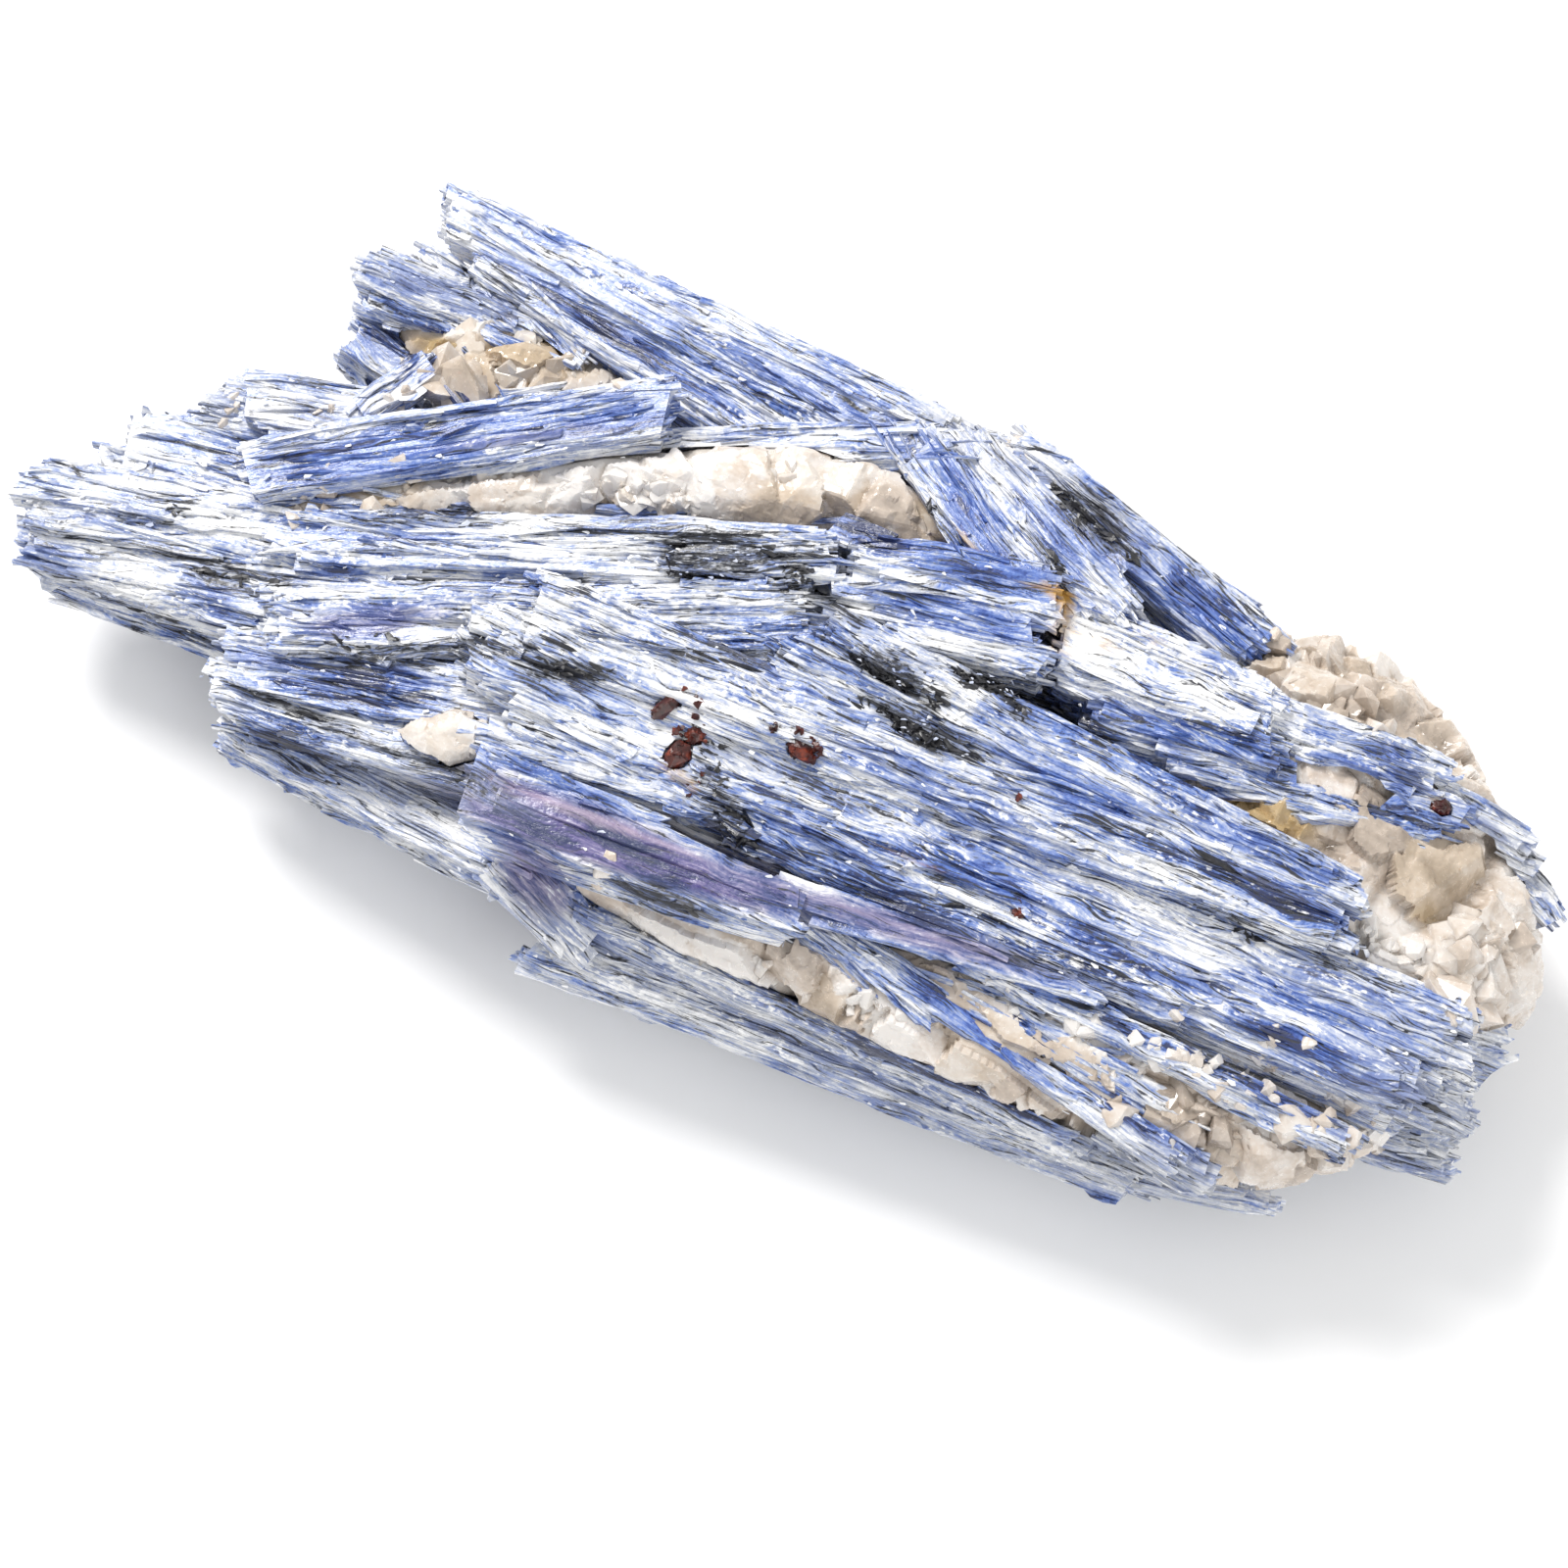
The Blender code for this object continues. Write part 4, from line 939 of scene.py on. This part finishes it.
def random_turns(count, rng):
    """Rotation matrices, evenly spread."""
    q = unit(rng.normal(size=(count, 4)))
    w, x, y, z = q.T
    return np.stack([
        np.stack([1 - 2 * (y * y + z * z), 2 * (x * y - z * w), 2 * (x * z + y * w)], -1),
        np.stack([2 * (x * y + z * w), 1 - 2 * (x * x + z * z), 2 * (y * z - x * w)], -1),
        np.stack([2 * (x * z - y * w), 2 * (y * z + x * w), 1 - 2 * (x * x + y * y)], -1),
    ], axis=1)


def chips_object(name, shapes, points, turns, sizes, tint, rng):
    """One object of many chips, each a turned and scaled copy of one of the shapes."""
    made = []
    chosen = rng.integers(len(shapes), size=len(points))
    for s, (corners, faces) in enumerate(shapes):
        mine = chosen == s
        if not mine.any():
            continue
        placed = np.einsum("nij,kj->nki", turns[mine], corners) * sizes[mine][:, None, None]
        placed = placed + points[mine][:, None]
        placed[..., 2] = np.maximum(placed[..., 2], 0.02)
        made.append(joined_mesh(f"{name}_{s}", placed, faces, {"tint": tint[mine]}))
    return join(made, name)


def join(objects, name):
    """One object of several, under this name."""
    bm = bmesh.new()
    for obj in objects:
        bm.from_mesh(obj.data)
    mesh = objects[0].data
    bm.to_mesh(mesh)
    bm.free()
    for obj in objects[1:]:
        old = obj.data
        bpy.data.objects.remove(obj)
        bpy.data.meshes.remove(old)
    objects[0].name = name
    mesh.name = name
    return objects[0]


def finish_piece(obj, material, replaced=()):
    """Gives a piece its material and ties it to the frame."""
    obj.data.materials.clear()
    obj.data.materials.append(material)
    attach(obj, "root")
    if replaced:
        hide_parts(*replaced)


def nodes_named(prefix):
    return sorted(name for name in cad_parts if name.startswith(prefix))


def seen_from_camera():
    """The way from the object to the camera."""
    look = bpy.context.scene.stage_look
    return np.array((math.sin(look.azimuth) * math.cos(look.elevation),
                     -math.cos(look.azimuth) * math.cos(look.elevation),
                     math.sin(look.elevation)))


def under_sight(tree, x, y):
    """The place and facing of the surface that covers this place of the patch tables."""
    way = Vector(seen_from_camera())
    start = Vector((x, y, PATCH_LEVEL)) + way * 60
    place, facing, _, _ = tree.ray_cast(start, -way)
    return place, facing


def sprinkle(tree, patches, rng):
    """Places in these patches, the way they face, and the half width of their patch."""
    points, normals, widths = [], [], []
    for x, y, half_length, half_width, angle, count in patches:
        turn = math.radians(angle)
        for _ in range(count):
            radius, around = math.sqrt(rng.random()), rng.uniform(0, 2 * math.pi)
            along, across = radius * math.cos(around), radius * math.sin(around)
            along, across = along * half_length, across * half_width
            place, facing = under_sight(
                tree, x + along * math.cos(turn) - across * math.sin(turn),
                y + along * math.sin(turn) + across * math.cos(turn),
            )
            if place is not None:
                points.append(place)
                normals.append(facing)
                widths.append(half_width)
    return np.array(points), np.array(normals), np.array(widths)


# Laths across other minerals: x, y, half length, half width, angle and how many are tried.
BRIDGES = (
    (-19, -20.4, 8, 2.4, -3, 150), (-3, -19, 4, 2, -20, 40), (-14, 11.5, 9, 1.6, 12, 90),
    (-6, 6, 8, 1.2, 12, 50), (12, 4, 6, 1.0, -10, 40), (22, 3.4, 5, 1.0, -10, 30),
    (15, -0.4, 6, 0.8, -12, 30), (25, 31, 5, 1.2, -25, 30), (62, 13.8, 5, 2, -10, 60),
    (62, 5.6, 14, 1.2, 6, 60), (-48, 0.5, 14, 1.0, 25, 60), (-10, -31, 6, 1.4, -3, 40),
    (12, -29.4, 12, 1.0, -4, 40), (45, -31, 12, 2, -14, 40), (-38, 19.4, 12, 1.0, 10, 40),
    (-10, 9.6, 8, 2.6, 12, 60), (-1, -17.6, 4, 2, -40, 24),
    (-52, 26, 10, 1.2, -4, 40),
)


MICA_CRUST = 260  # scales of crushed kyanite on the clots of mica
# The fine laths are three pieces: how far each reaches from west to east.
FINE_THIRDS = {"_west": (-math.inf, -18), "_middle": (-18, 32), "_east": (32, math.inf)}


class KYANITE_OT_blades(bpy.types.Operator):
    """Lay laths of kyanite along every spray of the solid"""

    bl_idname = "kyanite.blades"
    bl_label = "Kyanite laths"

    def execute(self, context):
        look = context.scene.kyanite_look
        rng = np.random.default_rng(11)
        field = SprayField()
        surface = kyanite_surface()
        material = kyanite_material(look)
        body = body_copy("kyanite_blades_cleaved", "kyanite_blades", field, rng)
        finish_piece(body, material, ["kyanite_blades"])
        plans = {
            "plates": dict(kind="plate", count=look.plates, width=look.plate_width,
                           length=look.plate_length, thickness=(0.1, 0.25), lift=(0.0, 0.5),
                           turn=0.025, roll=0.06, over=0.3, frays=False),
            "broad_laths": dict(kind="broad", count=look.broad_laths, width=look.broad_width,
                                length=look.broad_length, thickness=(0.4, 0.7),
                                lift=(0.0, 0.55), turn=0.03, roll=0.12, over=0.4, frays=False),
            "fine_laths": dict(kind="fine", count=look.fine_laths, width=look.fine_width,
                               length=look.fine_length, thickness=(0.5, 0.9),
                               lift=(0.1, 0.8), turn=0.04, roll=0.16, over=0.6, frays=True),
            "splinters": dict(kind="fine", count=look.splinters, width=look.fine_width * 0.6,
                              length=look.fine_length * 0.3, thickness=(0.5, 0.9),
                              lift=(0.3, 1.3), turn=0.16, roll=0.2, over=0.5, frays=True),
        }
        for name, plan in plans.items():
            laths = lay_laths(plan, surface, field, rng)
            thirds = FINE_THIRDS if name == "fine_laths" else {"": (-math.inf, math.inf)}
            for third, (left, right) in thirds.items():
                x = laths["centre"][:, 0]
                share = part_of(laths, (x >= left) & (x < right))
                piece = lath_object(f"kyanite_{name}{third}", plan["kind"], share, field, rng)
                finish_piece(piece, material)
        self.add_scales(look, surface, field, material, rng)
        self.add_bridges(look, field, material, rng)
        return {"FINISHED"}

    def add_bridges(self, look, field, material, rng):
        """Laths that lie over the quartz and the mica where the sprays reach across them."""
        every = tree_of(triangles_of(sorted(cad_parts)))
        points, normals, _ = sprinkle(every, BRIDGES, rng)
        surface = {"kyanite": every, "others": tree_of(np.full((1, 3, 3), -900.0))}
        plan = dict(width=look.fine_width * 1.5, length=look.fine_length * 0.8,
                    thickness=(0.4, 0.7), lift=(0.4, 1.0), turn=0.07, roll=0.16, over=0.4,
                    frays=False)
        laths = lay_laths(plan, surface, field, rng, points, normals)
        piece = lath_object("kyanite_bridges", "fine", laths, field, rng)
        finish_piece(piece, material)

    def add_scales(self, look, surface, field, material, rng):
        """Small crushed scales where the cleavage is frosted white."""
        points, normals = scatter(surface["triangles"], look.scales, rng)
        tones = tones_at(points, rng)
        kept = rng.random(len(points)) < 0.18 + 0.7 * tones[0][:, 1]
        kept &= points[:, 2] > 1.0
        on_mica = scatter(triangles_of(nodes_named("mica")), MICA_CRUST, rng)
        points = np.concatenate([points[kept], on_mica[0] + 0.4 * on_mica[1]])
        normals = np.concatenate([normals[kept], on_mica[1]])
        spray, _ = field.nearest(points, normals)
        flakes = chip_shapes(8, 8, np.array((1.0, 0.5, 0.16)), rng)
        out = unit(normals + rng.normal(0, 0.22, normals.shape))
        along = field.along[spray] + rng.normal(0, 0.25, normals.shape)
        side = unit(np.cross(out, along))
        turns = np.stack([np.cross(side, out), side, out], axis=2)
        sizes = rng.uniform(0.2, 0.8, len(points))
        points = points + normals * rng.uniform(0.1, 0.8, len(points))[:, None]
        tint = rng.random((len(points), 3))
        tint[-MICA_CRUST:] *= 0.45
        sizes[-MICA_CRUST:] *= 0.7
        piece = chips_object("kyanite_scales", flakes, points, turns, sizes, tint, rng)
        finish_piece(piece, crushed_material(look))


def kyanite_surface():
    """The kyanite solid's triangles, and trees to look up places on it and round it."""
    triangles = triangles_of(["kyanite_blades"])
    others = nodes_named("quartz") + nodes_named("garnet") + nodes_named("mica")
    return {
        "triangles": triangles, "kyanite": tree_of(triangles),
        "others": tree_of(triangles_of(others)),
    }


# Grains of quartz that lie on the blades: x, y, half length, half width, angle, how many.
LOOSE_QUARTZ = (
    (-52, 1.5, 10, 2.4, 35, 26), (-40, 7.2, 5, 2, 30, 10), (-22, 14.5, 18, 2.6, 27, 40),
    (-45, 21, 9, 4.5, 20, 24), (-51, 14.5, 4, 2, 20, 12), (-35, 26, 8, 2.4, -5, 20),
    (-72, 6, 2.5, 2.5, 0, 10), (-64, 9.5, 4, 1.2, 10, 8), (-32, -21, 3.5, 2.6, 30, 12),
    (-19, -19.8, 7, 1.4, 5, 16), (14, 34.5, 4, 1.2, -10, 12), (60, 19, 10, 3, -18, 30),
    (75, -7, 5, 2, -10, 12), (62, -26.5, 3.2, 1.8, -10, 10), (72, -27, 12, 2.6, -12, 36),
    (-10, -32, 2.5, 2.5, 0, 8), (2, -36.5, 6, 1.3, -3, 14), (24, -35, 4, 2, -8, 12),
    (47, -28.4, 21, 2.3, -3, 70), (58, -34, 14, 3, -4, 24), (76, -31, 6, 3, 0, 14),
    (55, -24, 5, 1.6, 0, 8), (69, -23.4, 5, 2.2, -5, 10), (12, -35.4, 12, 1.8, -6, 22),
    (86, -6, 4, 6, 0, 24), (-2, 14.5, 3, 1.4, 20, 8),
)


SHELL_SPACING = 0.32  # mm between the points of the broken quartz
FACETS = 14           # flat sides of a whole grain
FACET_SHARE = 0.42    # how many of its faces are left when the flat ones are joined


def fine_shell(node, spacing):
    """The solid's surface as even small faces, its points in mm and the way they face."""
    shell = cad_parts[node].copy()
    shell.data = shell.data.copy()
    bpy.context.collection.objects.link(shell)
    remesh = shell.modifiers.new("even_faces", "REMESH")
    remesh.mode = "VOXEL"
    remesh.voxel_size = spacing * MM
    depsgraph = bpy.context.evaluated_depsgraph_get()
    mesh = bpy.data.meshes.new_from_object(shell.evaluated_get(depsgraph))
    bpy.data.objects.remove(shell)
    points = np.array([v.co for v in mesh.vertices]) / MM + CENTRE
    normals = np.array([v.normal for v in mesh.vertices])
    return mesh, points, normals


def grain_heights(points, normals, size, rng):
    """How far out of the surface the facets of packed grains lie, and which grain it is."""
    count = max(6, int(0.9 * len(points) * SHELL_SPACING ** 2 / (size * size)))
    chosen = rng.choice(len(points), count, replace=False)
    radius = np.clip(rng.lognormal(math.log(size * 0.62), 0.3, count), size * 0.35, size)
    seeds = points[chosen] - normals[chosen] * (radius * rng.uniform(0.85, 1.15, count))[:, None]
    planes = unit(rng.normal(size=(count, FACETS, 3)))
    reach_out = radius[:, None] * rng.uniform(0.8, 1.0, (count, FACETS))
    finder = KDTree(count)
    for i, seed in enumerate(seeds):
        finder.insert(seed, i)
    finder.balance()
    near = min(6, count)
    close = np.array([[hit[1] for hit in finder.find_n(p, near)] for p in points])
    heights = []
    for k in range(near):
        grain = close[:, k]
        lean = np.einsum("njc,nc->nj", planes[grain], normals)
        gap = np.einsum("njc,nc->nj", planes[grain], points - seeds[grain])
        room = (reach_out[grain] - gap) / np.maximum(lean, 0.12)
        heights.append(np.where(lean > 0.12, room, 9.0).min(axis=1))
    heights = np.stack(heights, axis=1)
    winner = heights.argmax(axis=1)
    rows = np.arange(len(points))
    return heights[rows, winner], close[rows, winner]


class KYANITE_OT_quartz(bpy.types.Operator):
    """Build the grains of quartz in the lenses between the sprays"""

    bl_idname = "kyanite.quartz"
    bl_label = "Quartz grains"

    def execute(self, context):
        look = context.scene.quartz_look
        rng = np.random.default_rng(23)
        material = quartz_material(look)
        crumbs = chip_shapes(16, 10, np.array((1.0, 0.85, 0.7)), rng)
        kyanite = tree_of(triangles_of(["kyanite_blades"]))
        for node in nodes_named("quartz"):
            piece = self.broken(node, look, kyanite, rng)
            finish_piece(piece, material, [node])
        every = tree_of(triangles_of(["kyanite_blades"] + nodes_named("quartz")))
        points, normals, widths = sprinkle(every, LOOSE_QUARTZ, rng)
        sizes = widths * np.clip(rng.lognormal(math.log(0.75), 0.4, len(points)), 0.2, 1.1)
        points = points - normals * (sizes * rng.uniform(0.3, 0.6, len(points)))[:, None]
        tint = self.tints(points, rng.normal(0, 0.16, (len(points), 3)))
        grains = chip_shapes(12, 16, np.array((1.0, 0.85, 0.75)), rng)
        large = sizes > 0.8
        for name, shapes, mine in (("quartz_loose", grains, large),
                                   ("quartz_crumbs", crumbs, ~large)):
            piece = chips_object(name, shapes, points[mine], random_turns(mine.sum(), rng),
                                 sizes[mine], tint[mine], rng)
            finish_piece(piece, material)
        return {"FINISHED"}

    def broken(self, node, look, kyanite, rng):
        """A lump of quartz as packed grains with flat, glassy facets."""
        mesh, points, normals = fine_shell(node, SHELL_SPACING)
        heights, grain = grain_heights(points, normals, look.grain / MM, rng)
        crumbs, _ = grain_heights(points, normals, look.crumb / MM, rng)
        heights = np.clip(heights, -1.8, 0.9) + 0.22 * np.clip(crumbs, -0.8, 0.6)
        covered = np.array([kyanite.find_nearest(Vector(p), 1.3)[0] is not None for p in points])
        heights = np.where(covered, np.minimum(heights, 0.0), heights)
        points = points + normals * heights[:, None]
        points[:, 2] = np.maximum(points[:, 2], 0.02)
        mesh.vertices.foreach_set("co", ((points - CENTRE) * MM).astype(np.float32).ravel())
        tone_and_hollow_shade = rng.normal(0, 0.38, (grain.max() + 1, 3))[grain]
        # Painted shade: where the surface lies low, in the hollows between grains and under the
        # blades, the grains are pushed towards the smoky grey
        tone_and_hollow_shade[:, 1] += 0.55 * np.clip(0.1 - heights, 0, 1)
        write_layer(mesh, "tint", self.tints(points, tone_and_hollow_shade))
        piece = bpy.data.objects.new(node + "_broken", mesh)
        bpy.context.collection.objects.link(piece)
        facets = piece.modifiers.new("flat_facets", "DECIMATE")
        facets.ratio = FACET_SHARE
        depsgraph = bpy.context.evaluated_depsgraph_get()
        piece.data = bpy.data.meshes.new_from_object(piece.evaluated_get(depsgraph))
        piece.modifiers.clear()
        bpy.data.meshes.remove(mesh)
        piece.data.shade_flat()
        return piece

    def tints(self, points, tone_and_hollow_shade):
        shares = shares_at(points, QUARTZ_PATCHES)
        tint = np.stack([shares[name] for name in QUARTZ_PATCHES], axis=1)
        # The given spread is random tone, and on the lumps it also holds the painted shade of the
        # hollows
        return np.clip(tint + tone_and_hollow_shade * (1, 1, 0.3), 0, 1)


def flake_turns(points, normals, field, rng):
    """Turns that lay flakes flat on the surface, more or less, and roughly along its grain."""
    spray, _ = field.nearest(points, normals)
    out = unit(normals + rng.normal(0, 0.35, normals.shape))
    along = unit(field.along[spray] + rng.normal(0, 0.5, normals.shape))
    side = unit(np.cross(out, along))
    return np.stack([np.cross(side, out), side, out], axis=2)


# Small clots of mica: x, y, half length, half width, angle, how many flakes.
MICA_CLOTS = (
    (-9, 8.5, 8.5, 3.6, 12, 260), (13, 2.6, 5.5, 1.8, -12, 110), (22, 5.6, 4, 1.4, 0, 60),
    (26.5, 4.6, 1.6, 2.2, 0, 50), (16.5, -2.2, 5, 1.5, -14, 90), (11, -1.5, 2.5, 1, 10, 24),
    (25.5, 29.2, 5, 2, -25, 90), (32, 26.5, 1.5, 1.2, 0, 24), (7.5, 23.5, 3, 0.9, -8, 26),
    (-1, -17.6, 3.5, 1.6, -40, 50), (3.5, -21, 3, 0.7, -35, 30), (-28, 7, 5, 0.7, 25, 20),
    (-45, -14.8, 6, 0.8, 22, 30), (-22, -9.5, 5, 1.2, 15, 40), (25, 21.5, 2.4, 0.8, -35, 20),
    (78, -4.2, 1, 1.6, 0, 18), (60, -11.6, 1.6, 0.5, -5, 10), (-1, -30.8, 5, 0.8, 0, 30),
    (-63, -13.3, 3.5, 0.5, 5, 14), (-72, -7.6, 1.6, 0.7, 0, 10), (-5, -12.6, 2.6, 1.2, 0, 24),
)


class KYANITE_OT_mica(bpy.types.Operator):
    """Build the flakes of the mica clots"""

    bl_idname = "kyanite.mica"
    bl_label = "Mica flakes"

    def execute(self, context):
        look = context.scene.accessory_look
        rng = np.random.default_rng(37)
        material = mica_material(look)
        surface, field = kyanite_surface(), SprayField()
        flakes = chip_shapes(12, 9, np.array((1.0, 0.32, 0.10)), rng)
        size = look.flake / MM / 2
        for node in nodes_named("mica"):
            points, normals = scatter(triangles_of([node]), 420, rng)
            sizes = np.clip(rng.lognormal(math.log(size), 0.4, len(points)), size * 0.4, size * 1.7)
            points = points - normals * rng.uniform(0.3, 1.5, len(points))[:, None]
            turns = flake_turns(points, normals, field, rng)
            piece = chips_object(node + "_flakes", flakes, points, turns, sizes,
                                 rng.random((len(points), 3)), rng)
            finish_piece(piece, material, [node])
        points, normals, _ = sprinkle(surface["kyanite"], MICA_CLOTS, rng)
        sizes = np.clip(rng.lognormal(math.log(size * 0.7), 0.5, len(points)), 0.2, size * 1.6)
        points = points + normals * rng.uniform(-0.1, 0.7, len(points))[:, None]
        clots = chips_object("mica_clots", flakes, points,
                             flake_turns(points, normals, field, rng), sizes,
                             rng.random((len(points), 3)), rng)
        finish_piece(clots, material)
        plan = dict(width=0.42 * MM, length=5.0 * MM, thickness=(0.3, 0.5), lift=(0.4, 1.1),
                    turn=0.12, roll=0.3, over=0.2, frays=False)
        streaks = lay_laths(plan, surface, field, rng, *self.dark_places(surface, rng))
        piece = lath_object("mica_streaks", "fine", streaks, field, rng)
        finish_piece(piece, material)
        return {"FINISHED"}

    def dark_places(self, surface, rng):
        points, normals = scatter(surface["triangles"], 9000, rng)
        dark = tones_at(points, rng)[2][:, 2]
        kept = (rng.random(len(points)) < 0.5 * dark ** 2) & (normals[:, 2] > 0)
        return points[kept], normals[kept]


# Specks of garnet: x, y, half length, half width, angle, how many crumbs.
GARNET_SPECKS = (
    (-10.3, -8.8, 2.2, 0.6, 66, 22), (-7.4, -8, 0.8, 0.5, -30, 6), (-6.2, -10.3, 1.3, 0.7, 0, 14),
    (-7, -13, 1.6, 1.7, 60, 26), (-3.4, -17.6, 1.2, 1.8, 0, 22), (1.8, -8.2, 0.4, 0.9, 0, 7),
    (6, -8, 2.2, 0.8, -28, 20), (5.2, -10.1, 0.6, 0.2, 10, 4), (30.5, -5.8, 0.3, 0.3, 0, 3),
    (34.6, -17.6, 0.6, 0.7, 0, 8), (75.2, 11.2, 1.0, 0.8, -20, 10), (-6, -11.8, 1, 1.4, 70, 10),
)


class KYANITE_OT_garnet(bpy.types.Operator):
    """Build the broken grains of garnet"""

    bl_idname = "kyanite.garnet"
    bl_label = "Garnet grains"

    def execute(self, context):
        look = context.scene.accessory_look
        rng = np.random.default_rng(41)
        material = garnet_material(look)
        crumbs = chip_shapes(8, 10, np.array((1.0, 0.8, 0.7)), rng)
        for node in nodes_named("garnet"):
            points, normals = scatter(triangles_of([node]), 60, rng)
            seen = normals[:, 2] > -0.1
            points, normals = points[seen], normals[seen]
            sizes = rng.uniform(0.3, 0.8, len(points))
            points = points - normals * (0.35 * sizes)[:, None]
            piece = chips_object(node + "_crumbs", crumbs, points,
                                 random_turns(len(points), rng), sizes,
                                 rng.random((len(points), 3)), rng)
            finish_piece(piece, material)
            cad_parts[node].data.materials.clear()
            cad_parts[node].data.materials.append(material)
        points, normals, _ = sprinkle(kyanite_surface()["kyanite"], GARNET_SPECKS, rng)
        sizes = rng.uniform(0.25, 0.75, len(points))
        points = points + normals * rng.uniform(-0.1, 0.6, len(points))[:, None]
        specks = chips_object("garnet_specks", crumbs, points, random_turns(len(points), rng),
                              sizes, rng.random((len(points), 3)), rng)
        finish_piece(specks, material)
        return {"FINISHED"}


def area_light(name, place, target, size, power, colour=(1.0, 1.0, 1.0)):
    data = bpy.data.lights.new(name, "AREA")
    data.shape = "DISK"
    data.size = size
    data.energy = power
    data.color = colour
    light = bpy.data.objects.new(name, data)
    light.location = place
    light.rotation_euler = (Vector(target) - Vector(place)).to_track_quat("-Z", "Y").to_euler()
    bpy.context.collection.objects.link(light)


class KYANITE_OT_stage(bpy.types.Operator):
    """Set the floor, the light and the camera"""

    bl_idname = "kyanite.stage"
    bl_label = "Stage"

    def execute(self, context):
        look = context.scene.stage_look
        self.make_floor(look)
        self.make_light()
        self.make_camera(context, look)
        context.scene.view_settings.view_transform = "Standard"
        return {"FINISHED"}

    def make_floor(self, look):
        bm = bmesh.new()
        bmesh.ops.create_grid(bm, x_segments=1, y_segments=1, size=3.0)
        mesh = bpy.data.meshes.new("floor")
        bm.to_mesh(mesh)
        bm.free()
        floor = bpy.data.objects.new("floor", mesh)
        bpy.context.collection.objects.link(floor)
        material, _, shader = new_material("paper_matt")
        shader.inputs["Base Color"].default_value = (*look.floor, 1.0)
        shader.inputs["Roughness"].default_value = 0.9
        mesh.materials.append(material)

    def make_light(self):
        world = bpy.data.worlds.new("studio")
        bpy.context.scene.world = world
        world.use_nodes = True
        background = world.node_tree.nodes["Background"]
        background.inputs["Color"].default_value = (1.0, 1.0, 1.0, 1.0)
        background.inputs["Strength"].default_value = 0.75
        area_light("key", (-0.55, 0.45, 0.85), (0, 0, 0.02), 0.45, 12.0, (1.0, 0.98, 0.96))
        area_light("fill", (0.7, -0.5, 0.7), (0, 0, 0.02), 0.8, 3.5, (0.96, 0.98, 1.0))

    def make_camera(self, context, look):
        azimuth, elevation = look.azimuth, look.elevation
        back = Vector((math.sin(azimuth) * math.cos(elevation),
                       -math.cos(azimuth) * math.cos(elevation), math.sin(elevation)))
        right = Vector((math.cos(azimuth), math.sin(azimuth), 0.0))
        up = back.cross(right)
        data = bpy.data.cameras.new("camera")
        data.lens = look.lens
        data.sensor_width = 36.0
        camera = bpy.data.objects.new("camera", data)
        bpy.context.collection.objects.link(camera)
        aim = (Vector((5.0, -13.0, 28.0)) - Vector(CENTRE)) * MM
        turn = Matrix((right, up, back)).transposed().to_4x4()
        turn.translation = aim + back * look.distance
        camera.matrix_world = turn
        context.scene.camera = camera


class KYANITE_PT_panel(bpy.types.Panel):
    """Buttons and settings of the specimen"""

    bl_label = "Kyanite specimen"
    bl_space_type = "VIEW_3D"
    bl_region_type = "UI"
    bl_category = "Kyanite"

    def draw(self, context):
        for operator, group in STEPS:
            box = self.layout.box()
            box.operator(operator.bl_idname)
            settings = getattr(context.scene, group)
            for name in settings.bl_rna.properties.keys():
                if name not in ("rna_type", "name"):
                    box.prop(settings, name)


STEPS = (
    (KYANITE_OT_blades, "kyanite_look"),
    (KYANITE_OT_quartz, "quartz_look"),
    (KYANITE_OT_mica, "accessory_look"),
    (KYANITE_OT_garnet, "accessory_look"),
    (KYANITE_OT_stage, "stage_look"),
)
GROUPS = {
    "kyanite_look": KyaniteLook,
    "quartz_look": QuartzLook,
    "accessory_look": AccessoryLook,
    "stage_look": StageLook,
}


def register():
    for name, group in GROUPS.items():
        bpy.utils.register_class(group)
        setattr(bpy.types.Scene, name, PointerProperty(type=group))
    for operator, _ in STEPS:
        bpy.utils.register_class(operator)
    bpy.utils.register_class(KYANITE_PT_panel)


def unregister():
    bpy.utils.unregister_class(KYANITE_PT_panel)
    for operator, _ in reversed(STEPS):
        bpy.utils.unregister_class(operator)
    for name, group in GROUPS.items():
        delattr(bpy.types.Scene, name)
        bpy.utils.unregister_class(group)


def main():
    register()
    bpy.ops.kyanite.blades()
    bpy.ops.kyanite.quartz()
    bpy.ops.kyanite.mica()
    bpy.ops.kyanite.garnet()
    bpy.ops.kyanite.stage()


if __name__ == "__main__":
    main()
